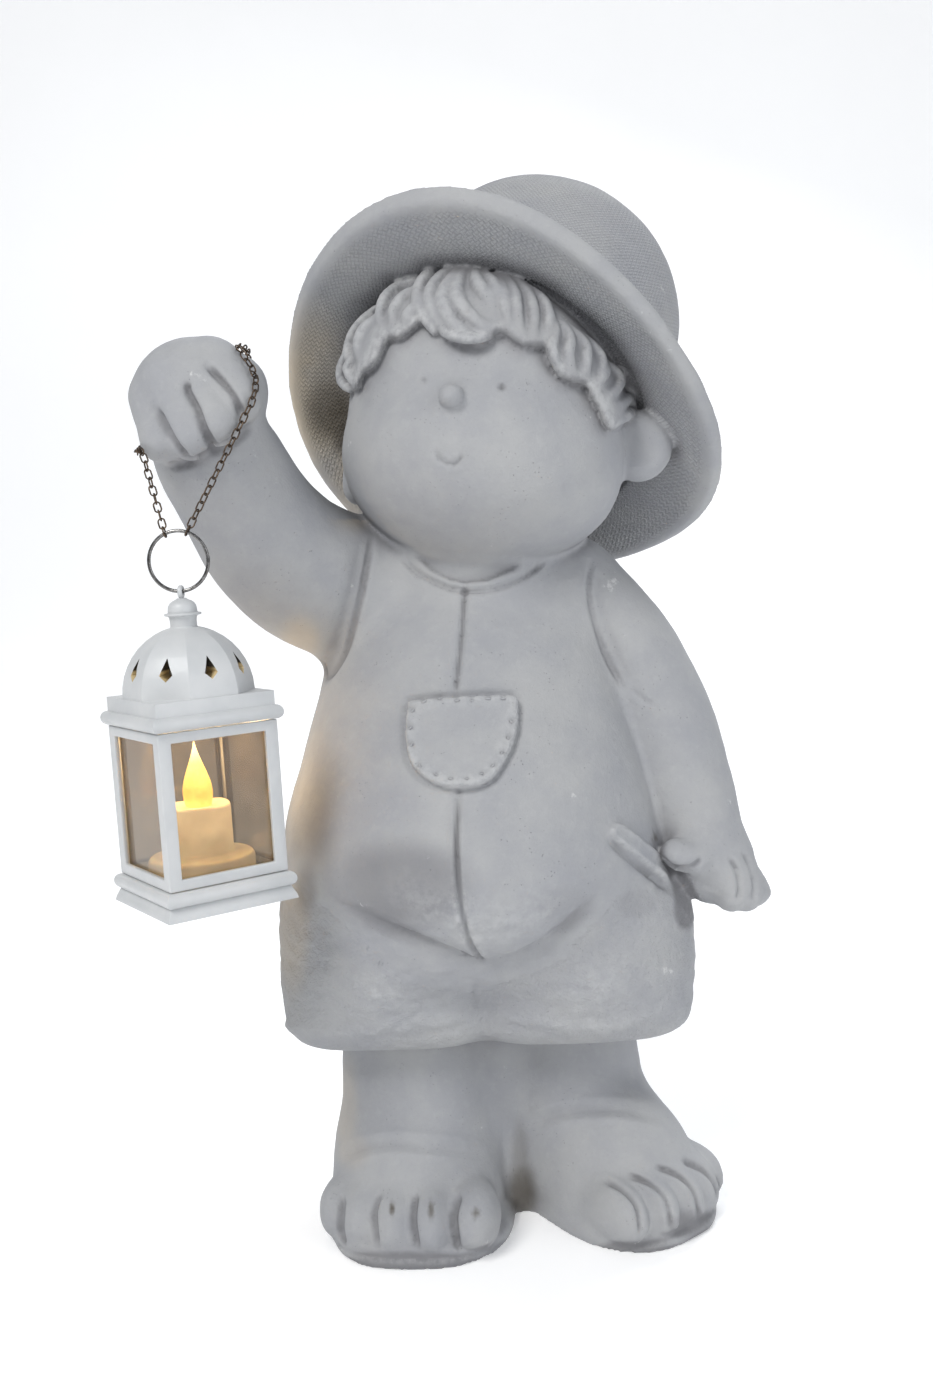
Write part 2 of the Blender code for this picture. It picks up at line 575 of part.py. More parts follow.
def chain(surface, statue, hang):
    """Links along the shortest way from the ring over the fist and back, each turned a quarter from the last."""
    skin = evaluated(statue, "skin")
    tree = BVHTree.FromPolygons([v.co for v in skin.vertices], [p.vertices for p in skin.polygons])
    bpy.data.meshes.remove(skin)
    clearance = LINK_WIDTH / 2 + GAP + 0.0001
    major = RING_WIDTH / 2 - RING_WIRE / 2
    seat = (LINK_PITCH + LINK_WIRE - LINK_OVERLAP) / 2 - LINK_WIRE / 2 - RING_WIRE / 2 - GAP - 0.0001
    ends = []
    for lean in (112, 68):
        a = math.radians(lean)
        ends.append(hang + Vector((math.cos(a), 0, math.sin(a))) * (major + seat))
    way = [ends[0]] + [Vector(p) * UNIT for p in CHAIN_WAY] + [ends[1]]
    way = [Vector(p) for p in smooth_line([tuple(p) for p in way], 8)]
    for _ in range(400):
        for i in range(1, len(way) - 1):
            p = way[i].lerp((way[i - 1] + way[i + 1]) / 2, 0.8)
            spot, normal, _, away = tree.find_nearest(p)
            if (p - spot).dot(normal) < clearance:
                p = spot + normal * clearance
            way[i] = p
    lengths = [0.0]
    for a, b in zip(way, way[1:]):
        lengths.append(lengths[-1] + (b - a).length)
    spans = round(lengths[-1] / LINK_PITCH)
    spans += spans % 2
    pitch = lengths[-1] / spans
    spots = []
    for i in range(spans + 1):
        s = min(i * pitch, lengths[-1] - 1e-9)
        k = next(j for j in range(len(way) - 1) if lengths[j + 1] > s)
        spots.append(way[k].lerp(way[k + 1], (s - lengths[k]) / (lengths[k + 1] - lengths[k])))
    half_length = (pitch + LINK_WIRE - LINK_OVERLAP) / 2
    half_width = LINK_WIDTH / 2 - LINK_WIRE / 2
    wires = bmesh.new(), bmesh.new()
    first = Vector((-math.sin(math.radians(112)), 0, math.cos(math.radians(112))))
    last = Vector((-math.sin(math.radians(68)), 0, math.cos(math.radians(68))))
    frames = []
    normal = first
    for i, spot in enumerate(spots):
        along = (spots[min(i + 1, spans)] - spots[max(i - 1, 0)]).normalized()
        normal = (normal - along * normal.dot(along)).normalized()
        frames.append((spot, along, normal))
    along, normal = frames[-1][1], frames[-1][2]
    goal = (last - along * last.dot(along)).normalized()
    short = math.atan2(normal.cross(goal).dot(along), normal.dot(goal))
    short = (short + math.pi / 2) % math.pi - math.pi / 2
    for i, (spot, along, normal) in enumerate(frames):
        ease = min(1, i / 6, (spans - i) / 6)
        angle = short * i / spans + math.pi / 2 * (i % 2) + math.radians(42) * ease
        side = Matrix.Rotation(angle, 3, along) @ normal
        across = side.cross(along)
        bend = [(1, 0.45), (0, 1), (-1, 0.45), (-1, -0.45), (0, -1), (1, -0.45)]
        if i in (0, spans):
            bend = [(1, 0.5), (0.55, 1), (-0.55, 1), (-1, 0.5), (-1, -0.5), (-0.55, -1), (0.55, -1), (1, -0.5)]
        points = [spot + along * u * half_length + across * v * half_width for u, v in bend]
        loop(wires[i % 2], points, side, LINK_WIRE / 2, 3)
    obj = add_object("chain", mesh_of("chain", wires[0]), surface)
    other = cutter("every_second_link", wires[1])
    boolean(obj, other, "UNION")
    return spans + 1, lengths[-1]


def main():
    clear_scene()
    surfaces = {
        "stone": material("cast_stone", (0.40, 0.41, 0.42), 0.85),
        "white": material("white_plastic", (0.80, 0.80, 0.79), 0.35),
        "glass": material("tinted_pane", (0.62, 0.58, 0.55), 0.08, transmission=0.9),
        "wax": material("candle_plastic", (0.85, 0.74, 0.52), 0.5),
        "flame": material("flame_plastic", (1.0, 0.72, 0.25), 0.4),
        "steel": material("ring_steel", (0.42, 0.42, 0.42), 0.3, metallic=1.0),
        "bronze": material("dark_bronze", (0.10, 0.075, 0.06), 0.45, metallic=1.0),
    }
    hang = HANG * UNIT
    statue = figure(surfaces["stone"])
    lantern(surfaces, hang)
    ring(surfaces["steel"], hang)
    chain(surfaces["bronze"], statue, hang)


main()
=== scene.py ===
"""A garden statue of a barefoot boy in a sun hat, with a small lantern on a chain over his fist.

The statue is carved as a distance field in its own units, 490 to its height, skinned, and then finished point by
point. The lantern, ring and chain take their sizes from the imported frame.
"""

import math

import bmesh
import bpy
import numpy as np
from mathutils import Matrix, Vector
from mathutils.bvhtree import BVHTree


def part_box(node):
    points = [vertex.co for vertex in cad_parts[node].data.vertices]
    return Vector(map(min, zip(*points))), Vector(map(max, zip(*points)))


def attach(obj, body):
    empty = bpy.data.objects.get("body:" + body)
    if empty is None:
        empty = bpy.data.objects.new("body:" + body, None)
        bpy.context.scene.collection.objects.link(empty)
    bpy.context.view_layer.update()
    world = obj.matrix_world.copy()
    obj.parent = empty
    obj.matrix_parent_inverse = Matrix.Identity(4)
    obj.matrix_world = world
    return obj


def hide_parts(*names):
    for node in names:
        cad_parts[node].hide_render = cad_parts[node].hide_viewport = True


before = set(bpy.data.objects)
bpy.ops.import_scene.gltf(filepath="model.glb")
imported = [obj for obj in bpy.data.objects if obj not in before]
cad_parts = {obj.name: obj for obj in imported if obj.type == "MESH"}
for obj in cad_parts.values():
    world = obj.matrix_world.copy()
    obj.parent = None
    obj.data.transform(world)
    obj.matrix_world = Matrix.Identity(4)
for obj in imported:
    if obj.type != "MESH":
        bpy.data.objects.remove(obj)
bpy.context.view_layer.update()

# Statue sizes
FIGURE_LOW, FIGURE_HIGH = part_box("figure")
UNIT = (FIGURE_HIGH.z - FIGURE_LOW.z) / 490
SKIN_STEP = 1.25
SKIN_TRIANGLES = 188000

# Lantern sizes
LANTERN_TURN = math.radians(38.6)
FRAME_LOW, FRAME_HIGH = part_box("lantern_frame")
BASE_LOW, BASE_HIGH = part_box("lantern_base")
ROOF_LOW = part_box("lantern_roof")[0]
CANDLE_LOW, CANDLE_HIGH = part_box("candle")
FLAME_LOW, FLAME_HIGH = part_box("flame")
RING_LOW, RING_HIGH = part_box("hanging_ring")
TURNED = math.cos(LANTERN_TURN) + math.sin(LANTERN_TURN)
LANTERN_BODY = (FRAME_HIGH.x - FRAME_LOW.x) / TURNED
LANTERN_FOOT = Vector(((BASE_LOW.x + BASE_HIGH.x) / 2, (BASE_LOW.y + BASE_HIGH.y) / 2, BASE_LOW.z))
POST_WIDTH = 0.0055
FRAME_WALL = 0.0022
BOTTOM_RAIL = 0.0045
TOP_RAIL = 0.0042
ROOF_WALL = 0.0016
DOME_HEIGHT = 0.0280
CORNICE_HEIGHT = 0.0119
KITE_HEIGHT = 0.0093
KITE_WIDTH = 0.0058
PANE_THICKNESS = 0.0010
CANDLE_RADIUS = 0.0130
CANDLE_FOOT_RADIUS = 0.0215
GAP = 0.0003
EYE_HOLE = 0.0027
RING_WIRE = 0.0015
RING_WIDTH = 0.0260
RING_RADIUS = RING_WIDTH / 2 - RING_WIRE / 2
LINK_WIRE = 0.0007
LINK_WIDTH = 0.0035
LINK_PITCH = 0.0037

# Photograph: a 933 by 1400 frame, seen from a fitted place. Turns are in degrees.
PHOTO_SIZE = (933, 1400)
CAMERA_AZIMUTH, CAMERA_PITCH, CAMERA_ROLL = 4.0, 6.6, 3.4
CAMERA_SPOT = Vector((0.0457, -0.6534, 0.3180))
CAMERA_LENS = 36.0
SENSOR_HEIGHT = 36.0
PIXEL = 0.44  # one of its pixels on the statue, in statue units


def camera_axes():
    """The camera's right, up and forward directions."""
    azimuth, pitch, lean = (math.radians(a) for a in (CAMERA_AZIMUTH, CAMERA_PITCH, CAMERA_ROLL))
    ahead = Vector((-math.sin(azimuth) * math.cos(pitch), math.cos(azimuth) * math.cos(pitch), -math.sin(pitch)))
    right = Vector((math.cos(azimuth), math.sin(azimuth), 0))
    above = right.cross(ahead)
    return (right * math.cos(lean) - above * math.sin(lean), above * math.cos(lean) + right * math.sin(lean), ahead)


VIEW_RIGHT, VIEW_ABOVE, VIEW_AHEAD = (np.array(axis) for axis in camera_axes())
PHOTO_REACH = PHOTO_SIZE[1] * CAMERA_LENS / SENSOR_HEIGHT


def in_photo(p):
    """Where points in statue units are seen in the photograph, in its pixels."""
    q = p * UNIT - np.array(CAMERA_SPOT)
    ahead = q @ VIEW_AHEAD
    return np.stack([PHOTO_SIZE[0] / 2 + PHOTO_REACH * (q @ VIEW_RIGHT) / ahead,
                     PHOTO_SIZE[1] / 2 - PHOTO_REACH * (q @ VIEW_ABOVE) / ahead], 1)


def sight(x, y):
    """The camera's place and the direction of one photograph pixel, in statue units."""
    way = (VIEW_AHEAD + VIEW_RIGHT * (x - PHOTO_SIZE[0] / 2) / PHOTO_REACH
           - VIEW_ABOVE * (y - PHOTO_SIZE[1] / 2) / PHOTO_REACH)
    return np.array(CAMERA_SPOT) / UNIT, way / np.linalg.norm(way)


def turn(yaw=0, pitch=0, roll=0):
    """Columns are the turned axes: roll about Y, then pitch about X, then yaw about Z, in degrees."""
    yaw, pitch, roll = map(math.radians, (yaw, pitch, roll))
    made = Matrix.Rotation(yaw, 3, "Z") @ Matrix.Rotation(pitch, 3, "X") @ Matrix.Rotation(roll, 3, "Y")
    return np.array(made, np.float32)


# Statue forms, in statue units: centre and half sizes, or a row of points that each end in a radius.
HEAD = np.array((17, -6, 358), np.float32)
HEAD_TURN = turn(yaw=-12, pitch=-8, roll=8)
LEFT_FOOT = np.array((44, 2, 0), np.float32)
LEFT_FOOT_TURN = turn(yaw=38)
HAT_AXIS = np.array((0.306, 0.708, 0.636), np.float32)
HAT_AXIS /= np.linalg.norm(HAT_AXIS)
HAT_RIM = np.array((19.4, 10, 375.2), np.float32)
TORSO = [(108, 2, 10, 60, 54), (124, 2, 5, 79, 72), (146, 2, 3, 90, 84), (170, 1, 0, 92, 88), (195, 1, -3, 87.5, 85),
         (220, 2, -3, 80, 80), (245, 3, 0, 73, 70), (270, 4, 4, 66, 59), (292, 5, 8, 57, 46), (308, 6, 9, 45, 36),
         (318, 7, 8, 34, 29)]
BELLY = ((2, -12, 176), (76, 76, 42))
SHOULDERS = [(-38, 8, 298, 26), (2, 10, 304, 27), (48, 8, 291, 26)]
NECK = [(8, 0, 285, 36), (12, -2, 325, 36)]
SHORTS = [((-40, 6, 133), (54, 70, 45)), ((45, 6, 133), (56, 70, 45))]
HEMS = [((-40, 3, 111), (52, 61, 24)), ((45, 3, 111), (53.5, 61, 24))]
SEAT_FOLD = [(7, 6, 10, 22), (6, 3, 60, 25), (5, 0, 112, 27)]
LEGS = [[(-31, 4, 112, 39), (-31, 4, 62, 39.5), (-34, 4, 24, 42)], [(39, 8, 112, 32), (39, 8, 62, 33), (42, 6, 24, 37)]]
RIGHT_FOOT_FORMS = [((-35, -23, 8), (41.5, 49, 28)), ((-34, -12, 28), (38, 44, 34)), ((-34, 18, 16), (38, 30, 30))]
LEFT_FOOT_FORMS = [((2, -24, 8), (38, 48, 27)), ((0, -14, 27), (34, 46, 32)), ((0, 12, 16), (34, 30, 30))]
FOOT_WEB = ((8, 10, 6), (30, 32, 44))
SOLES = [((-32, -25, 4), (43, 51, 10)), ((-1, -27, 4), (36, 47, 10))]
RIGHT_TOES = [((-6, -57, 16), (12, 19, 15)), ((-25, -60, 16), (9.8, 17.5, 14)), ((-42.5, -58, 15.5), (9.4, 16.5, 13.5)),
              ((-58, -52, 15), (8.6, 15.5, 13)), ((-71, -42, 14), (7.6, 14.5, 12))]
LEFT_TOES = [((-26, -55, 16), (9.6, 18, 14)), ((-11, -60, 16), (8.6, 17, 13.5)), ((5, -60, 15.5), (8.2, 16, 13)),
             ((20, -55, 15), (7.8, 15, 12.5)), ((33, -46, 14), (7.4, 14, 12))]
RIGHT_ARM = [(-40, 6, 292, 33), (-60, -4, 301, 32), (-76, -14, 312, 30.5), (-86, -24, 327, 28), (-94, -34, 345, 26),
             (-101, -46, 364, 25)]
PALM = ((-103, -55, 384), (28, 24, 25))
FINGERS = [[(-120, -64, 384, 9), (-115, -72, 365, 9)], [(-113, -68, 391, 10), (-102, -76, 366, 10)],
           [(-103, -67, 395, 10), (-90.5, -76, 371, 10)], [(-94, -62, 397, 10), (-83, -70, 380, 10.5)]]
THUMB = ((-82.5, -54, 386), (9.5, 14, 12.5))
LEFT_ARM = [(51, 6, 286, 26), (70.5, 2, 262, 26.5), (88, -4, 228, 25), (97, -12, 196, 23), (104, -20, 176, 18.5)]
LEFT_PALM = ((109, -26, 165), (20.5, 12.5, 18))
LEFT_THUMB = [(107, -32, 176, 8), (99, -39, 172, 7), (94, -42, 173, 6.2), (91, -43, 175, 5.8)]
LEFT_FINGERS = [[(112, -29, 166, 11), (116.5, -31, 153, 9)], [(114, -28, 166, 11), (123, -28, 151, 8.2)],
                [(116, -24, 168, 10), (128, -23, 150.5, 7)], [(115, -20, 168, 9), (128.5, -18, 151.5, 5.6)]]
WELT_SEEN = [(617, 832), (634, 845), (653, 861), (670, 875)]
SKULL = ((17, -6, 363), (60, 56, 57))
HAIR_CAP = ((15, -3, 383), (59, 54, 53))
CHEEKS = ((0, -8, -11), (59, 52, 38))
NOSE = ((0, -62, 9.8), (5.4, 6.6, 5.4))
EARS = [((84.5, -14, 354), (15.5, 7.5, 16), 20), ((-46, 22, 352), (13, 7.5, 15.5), -45)]
HAT_OUTSIDE = [(0, 132), (23, 130.5), (44, 123), (59, 109), (68, 90), (71.5, 67), (74, 42), (78.5, 27), (85.5, 17),
               (93.5, 9.5), (101.5, 5)]
HAT_INSIDE = [(105.8, 0.2), (101.5, -4.6), (94.5, -3.2), (88, -1.6), (80, 1.0), (72, 4.5), (64, 8.5), (0, 14)]
HAIR_EDGE = [(353, 393), (347, 378), (350, 360), (352, 343), (358, 329), (369, 316), (384, 308), (388, 298), (402, 288),
             (424, 276), (450, 266), (480, 266), (506, 271), (532, 281), (552, 300), (574, 318), (596, 340), (612, 358),
             (626, 380), (633, 402), (628, 420), (616, 431), (604, 428), (597, 410), (588, 397), (583, 386), (568, 383),
             (556, 374), (547, 360), (541, 348), (522, 348), (508, 339), (498, 334), (486, 342), (468, 345), (450, 341),
             (436, 333), (426, 322), (412, 332), (398, 342), (390, 341), (384, 352), (375, 368), (365, 375), (360, 388)]
HAIR_DEPTH = 5.2
HAIR = [
    (5.6, [(463, 272), (437, 281), (424, 300), (425, 318), (436, 334)]),
    (5.6, [(462, 274), (444, 287), (434, 305), (438, 322), (450, 337)]),
    (6.2, [(464, 276), (453, 290), (446, 307), (452, 325), (466, 338), (482, 340)]),
    (6.4, [(470, 277), (461, 290), (459, 306), (467, 320), (482, 331), (497, 331)]),
    (6.6, [(476, 280), (478, 294), (486, 305), (495, 315)]),
    (5.4, [(484, 282), (491, 292), (496, 304), (498, 316)]),
    (4.8, [(446, 338), (460, 344), (476, 345), (490, 339)]),
    (4.8, [(496, 284), (502, 298), (503, 314), (507, 330), (513, 340)]),
    (5.0, [(503, 284), (512, 299), (514, 317), (517, 334), (523, 345)]),
    (5.2, [(511, 286), (525, 302), (529, 320), (530, 336), (533, 346)]),
    (5.0, [(521, 292), (538, 308), (543, 324), (542, 338), (538, 346)]),
    (4.8, [(548, 324), (550, 338), (546, 352), (550, 366), (558, 377)]),
    (5.2, [(555, 328), (563, 343), (561, 358), (564, 372), (570, 382)]),
    (5.2, [(563, 333), (577, 349), (577, 364), (578, 377), (581, 385)]),
    (4.8, [(573, 338), (589, 355), (592, 368), (590, 379), (585, 385)]),
    (4.6, [(594, 362), (596, 375), (589, 388), (589, 398)]),
    (5.0, [(599, 366), (608, 382), (604, 396), (594, 407)]),
    (5.0, [(606, 371), (618, 389), (615, 404), (600, 418)]),
    (4.8, [(613, 380), (625, 398), (622, 414), (606, 427)]),
    (5.4, [(421, 288), (405, 296), (393, 309), (388, 324), (392, 338)]),
    (5.8, [(423, 297), (410, 307), (401, 321), (400, 336)]),
    (4.6, [(423, 312), (414, 322), (409, 332)]),
    (5.4, [(386, 313), (369, 323), (358, 339), (355, 354), (361, 368)]),
    (5.6, [(388, 322), (375, 335), (368, 352), (370, 369)]),
    (4.6, [(358, 352), (350, 365), (349, 379), (355, 391)]),
    (4.4, [(364, 358), (359, 372), (361, 387)]),
]
NAPE = [(9, [(62, 38, 338), (60, 44, 318)]), (9, [(48, 42, 336), (45, 48, 314)]), (9, [(34, 48, 335), (31, 54, 311)]),
        (9, [(20, 50, 334), (17, 57, 310)]), (9, [(5, 49, 335), (3, 55, 312)]), (9, [(-10, 44, 337), (-12, 50, 315)]),
        (8, [(-23, 37, 340), (-25, 42, 320)])]
POCKET = [(408, 701), (405, 735), (411, 765), (432, 784), (460, 790), (488, 783), (505, 763), (516, 738), (519, 712),
          (514, 696), (480, 695), (440, 697)]
STITCHES = [(424, 702), (440, 699), (457, 701), (472, 701), (488, 699), (503, 699), (413, 711), (411, 728), (412, 745),
            (420, 766), (436, 775), (451, 779), (467, 779), (482, 774), (493, 766), (502, 753), (508, 738), (511, 722)]
BELLY_FOLD = [(300, 872), (345, 905), (370, 919), (410, 937), (450, 953), (484, 966), (515, 959), (548, 942),
              (572, 922), (592, 902), (640, 866), (695, 840)]
STROKES = [
    # seen line, half width in pixels, depth, raised lip beside it, region
    ([(465, 583), (461, 640), (455, 692)], 2.6, 2.6, 0.0, "body"),
    ([(458, 792), (457, 850), (461, 900), (470, 938), (483, 964)], 2.7, 2.6, 0.9, "body"),
    ([(404, 560), (410, 567), (420, 575), (442, 586), (466, 591), (495, 589), (522, 578), (540, 564), (546, 552)],
     2.8, 1.6, 0.3, "body"),
    ([(475, 984), (474, 1000), (480, 1014)], 2.6, 0.5, 0.3, "body"),
    ([(372, 540), (362, 594), (345, 650), (327, 678)], 3.0, 1.8, 0.15, "body"),
    ([(362, 545), (352, 594), (335, 650), (318, 680)], 9.0, 1.6, 0.0, "body"),
    ([(591, 562), (590, 600), (603, 646), (622, 686)], 2.8, 1.5, 0.15, "side"),
    ([(600, 570), (601, 604), (614, 646), (633, 686)], 9.0, 1.2, 0.0, "side"),
    ([(633, 690), (643, 700), (655, 706)], 3.0, 0.8, 0.3, "side"),
    ([(157, 410), (167, 430), (177, 447), (188, 460)], 3.6, 3.0, 0.4, "fist"),
    ([(187, 382), (187, 391), (196, 408), (204, 430), (215, 449)], 3.6, 3.0, 0.4, "fist"),
    ([(208, 366), (222, 381), (234, 397), (243, 416)], 3.4, 2.6, 0.4, "fist"),
    ([(168, 467), (188, 464), (214, 452), (240, 437), (252, 424)], 4.2, 1.8, 0.0, "fist"),
    ([(730, 858), (738, 872), (740, 886), (738, 902)], 2.5, 1.8, 0.2, "hand"),
    ([(744, 853), (752, 868), (755, 884), (753, 900)], 2.4, 1.4, 0.2, "hand"),
    ([(610, 842), (632, 862), (652, 877), (666, 888)], 3.0, 2.0, 0.0, "body"),
    ([(660, 858), (672, 868), (690, 868), (703, 858)], 3.4, 2.2, 0.0, "hand"),
    ([(343, 1161), (358, 1149), (390, 1143), (430, 1146), (478, 1152)], 5.5, 1.0, 0.6, "foot"),
    ([(532, 1124), (560, 1113), (590, 1109), (628, 1110), (668, 1121)], 5.5, 1.1, 0.7, "foot"),
    ([(343, 1198), (341, 1225), (344, 1243)], 2.6, 1.9, 0.3, "foot"),
    ([(380, 1194), (374, 1215), (377, 1245)], 2.6, 2.0, 0.3, "foot"),
    ([(416, 1195), (413, 1220), (417, 1247)], 2.8, 2.1, 0.3, "foot"),
    ([(459, 1196), (454, 1218), (458, 1247)], 3.0, 2.2, 0.3, "foot"),
    ([(604, 1180), (622, 1189), (637, 1206), (641, 1236)], 3.0, 2.2, 0.3, "foot"),
    ([(630, 1176), (650, 1184), (666, 1200), (671, 1228)], 2.8, 2.0, 0.3, "foot"),
    ([(658, 1167), (679, 1176), (694, 1192), (701, 1218)], 2.6, 1.9, 0.3, "foot"),
    ([(684, 1161), (703, 1170), (716, 1184), (722, 1204)], 3.0, 2.0, 0.3, "foot"),
    ([(324, 1238), (345, 1250), (375, 1256), (420, 1258), (465, 1255), (500, 1245)], 5.5, 1.5, 0.0, "foot"),
    ([(604, 1243), (630, 1248), (660, 1240), (700, 1222), (728, 1200)], 5.0, 1.4, 0.0, "foot"),
]
CHAIN_WAY = [(-131, -62, 366), (-128, -40, 380), (-118, -12, 376), (-104, -6, 380)]
CHAIN_LEFT = (146, 449)
CHAIN_SEEN = [(234, 350), (242, 361), (249, 373), (253, 385)]
COPY_SEED = 4


# Distance field

def length(q):
    return np.sqrt(np.einsum("ij,ij->i", q, q))


def ellipsoid(p, centre, half, axes=None, power=2.0):
    """Distance to an ellipsoid. A power above 2 squares it up."""
    half = np.asarray(half, np.float32)
    q = p - np.asarray(centre, np.float32)
    q = np.abs((q if axes is None else q @ axes) / half)
    if power == 2:
        near = length(q)
        return near * (near - 1) / np.maximum(length(q / half), 1e-6)
    near = np.maximum((q ** power).sum(1) ** (1 / power), 1e-6)
    slope = length(q ** (power - 1) / half) * near ** (1 - power)
    return (near - 1) / np.maximum(slope, 1e-6)


def blend(a, b, size):
    """Both forms, with a fillet of the given size between them."""
    h = np.maximum(size - np.abs(a - b), 0) / size
    return np.minimum(a, b) - h * h * size * 0.25


def without(a, b, size):
    return -blend(-a, b, size)


def limb(p, points, size=0.0):
    """Distance to a tapered bar through points that each end in a radius."""
    made = None
    for start, end in zip(points, points[1:]):
        a, b = np.asarray(start[:3], np.float32), np.asarray(end[:3], np.float32)
        to_p, to_b = p - a, b - a
        share = np.clip(to_p @ to_b / (to_b @ to_b), 0, 1)
        d = length(to_p - share[:, None] * to_b) - (start[3] + share * (end[3] - start[3]))
        made = d if made is None else blend(made, d, size) if size else np.minimum(made, d)
    return made


def smooth_line(points, count):
    """Points along a smooth curve through the given ones, count to each span."""
    p = np.asarray(points, float)
    n = len(p)
    t = np.linspace(0, n - 1, (n - 1) * count + 1)
    i = np.clip(t.astype(int), 0, n - 2)
    f = (t - i)[:, None]
    a, b, c, d = (p[np.clip(i + k, 0, n - 1)] for k in (-1, 0, 1, 2))
    return 0.5 * (2 * b + (c - a) * f + (2 * a - 5 * b + 4 * c - d) * f ** 2 + (3 * b - a - 3 * c + d) * f ** 3)


def within(p, low, high, field, reach=14.0):
    """A field worked out only near its own box, and a safe distance elsewhere."""
    away = length(np.maximum(np.maximum(np.asarray(low, np.float32) - p, p - np.asarray(high, np.float32)), 0))
    made = np.maximum(away, reach)
    close = away < reach
    if close.any():
        made[close] = field(p[close])
    return made


def outline_distance(points, outline):
    """Signed distance from flat points to a closed outline, below 0 inside it."""
    inside = np.zeros(len(points), bool)
    near = np.full(len(points), 1e9)
    for (x0, y0), (x1, y1) in zip(outline, np.roll(outline, -1, 0)):
        vx, vy = x1 - x0, y1 - y0
        dx, dy = points[:, 0] - x0, points[:, 1] - y0
        share = np.clip((dx * vx + dy * vy) / max(vx * vx + vy * vy, 1e-9), 0, 1)
        near = np.minimum(near, (dx - share * vx) ** 2 + (dy - share * vy) ** 2)
        crosses = (y0 > points[:, 1]) != (y1 > points[:, 1])
        if vy:
            inside ^= crosses & (points[:, 0] < x0 + vx * (points[:, 1] - y0) / vy)
    return np.where(inside, -1, 1) * np.sqrt(near)


def torso(p):
    rows = smooth_line(TORSO, 6)
    z = np.clip(p[:, 2], TORSO[0][0], TORSO[-1][0])
    x, y, wide, deep = (np.interp(z, rows[:, 0], rows[:, k]).astype(np.float32) for k in (1, 2, 3, 4))
    qx, qy = (p[:, 0] - x) / wide, (p[:, 1] - y) / deep
    near = np.sqrt(qx * qx + qy * qy)
    side = near * (near - 1) / np.maximum(np.sqrt((qx / wide) ** 2 + (qy / deep) ** 2), 1e-6)
    ends = np.maximum(TORSO[0][0] - p[:, 2], p[:, 2] - TORSO[-1][0])
    d = -blend(-side, -ends, 10)
    return blend(d, ellipsoid(p, *BELLY), 16)


def clothes(p):
    d = blend(torso(p), limb(p, SHOULDERS, 10), 24)
    shorts = [blend(ellipsoid(p, *top, power=2.8), ellipsoid(p, *hem, power=4), 6) for top, hem in zip(SHORTS, HEMS)]
    return blend(d, blend(shorts[0], shorts[1], 7), 9)


def foot(p, forms, sole, toes, centre=0, axes=None):
    def placed(form, power=2.0):
        spot = np.asarray(form[0], np.float32)
        return ellipsoid(p, centre + (spot if axes is None else axes @ spot), form[1], axes, power)
    d = placed(forms[0])
    for form in forms[1:]:
        d = blend(d, placed(form), 15)
    for toe in toes:
        d = blend(d, placed(toe), 6.0)
    return blend(d, placed(sole, 2.6), 1.5)


def legs(p):
    d = blend(limb(p, LEGS[0], 4), limb(p, LEGS[1], 4), 4)
    d = blend(d, limb(p, SEAT_FOLD), 6)
    d = blend(d, foot(p, RIGHT_FOOT_FORMS, SOLES[0], RIGHT_TOES), 10)
    d = blend(d, foot(p, LEFT_FOOT_FORMS, SOLES[1], LEFT_TOES, LEFT_FOOT, LEFT_FOOT_TURN), 10)
    return blend(d, ellipsoid(p, *FOOT_WEB), 8)


def raised_arm(p):
    d = limb(p, smooth_line(RIGHT_ARM, 3), 5)
    d = blend(d, ellipsoid(p, *PALM), 8)
    fist = None
    for finger in FINGERS:
        bar = limb(p, finger)
        fist = bar if fist is None else blend(fist, bar, 2.2)
    d = blend(d, fist, 5)
    return blend(d, ellipsoid(p, *THUMB), 3.5)


def lowered_arm(p):
    d = limb(p, smooth_line(LEFT_ARM, 3), 5)
    d = blend(d, ellipsoid(p, *LEFT_PALM, turn(roll=38)), 10)
    for finger in LEFT_FINGERS:
        d = blend(d, limb(p, finger), 1.8)
    return blend(d, limb(p, LEFT_THUMB, 3), 5)


def head(p):
    d = blend(ellipsoid(p, *SKULL), ellipsoid(p, HEAD + HEAD_TURN @ np.array(CHEEKS[0]), CHEEKS[1], HEAD_TURN), 22)
    return blend(d, ellipsoid(p, *HAIR_CAP), 6)


def ears(p):
    made = None
    for centre, half, yaw in EARS:
        axes = HEAD_TURN @ turn(yaw=yaw)
        shell = ellipsoid(p, centre, half, axes)
        bowl = ellipsoid(p, np.asarray(centre, np.float32) + axes @ np.array((-2, -9, 0), np.float32),
                         (half[0] * 0.64, half[1] * 0.56, half[2] * 0.62), axes)
        ear = without(shell, bowl, 4)
        made = ear if made is None else np.minimum(made, ear)
    return made


def settle(points, field, lift):
    """Moves points along the field's slope until they stand the given height off its surface."""
    p = np.asarray(points, np.float32).copy()
    for _ in range(4):
        slope = np.stack([field(p + e) - field(p - e) for e in np.eye(3, dtype=np.float32) * 0.5], 1)
        slope /= np.maximum(length(slope), 1e-6)[:, None]
        p -= slope * (field(p) - lift)[:, None]
    return p


def on_head(seen):
    """The places on the head that a photograph line crosses, or where it passes the head nearest."""
    made = []
    for x, y in seen:
        eye, way = sight(x, y)
        best, reach = None, 480.0
        for _ in range(60):
            spot = eye + way * reach
            d = float(head(spot[None].astype(np.float32))[0])
            if best is None or d < best[0]:
                best = (d, spot)
            if d < 0.05:
                break
            reach += max(d * 0.9, 0.05)
            if reach > 720:
                break
        made.append(best[1])
    return np.array(made, np.float32)


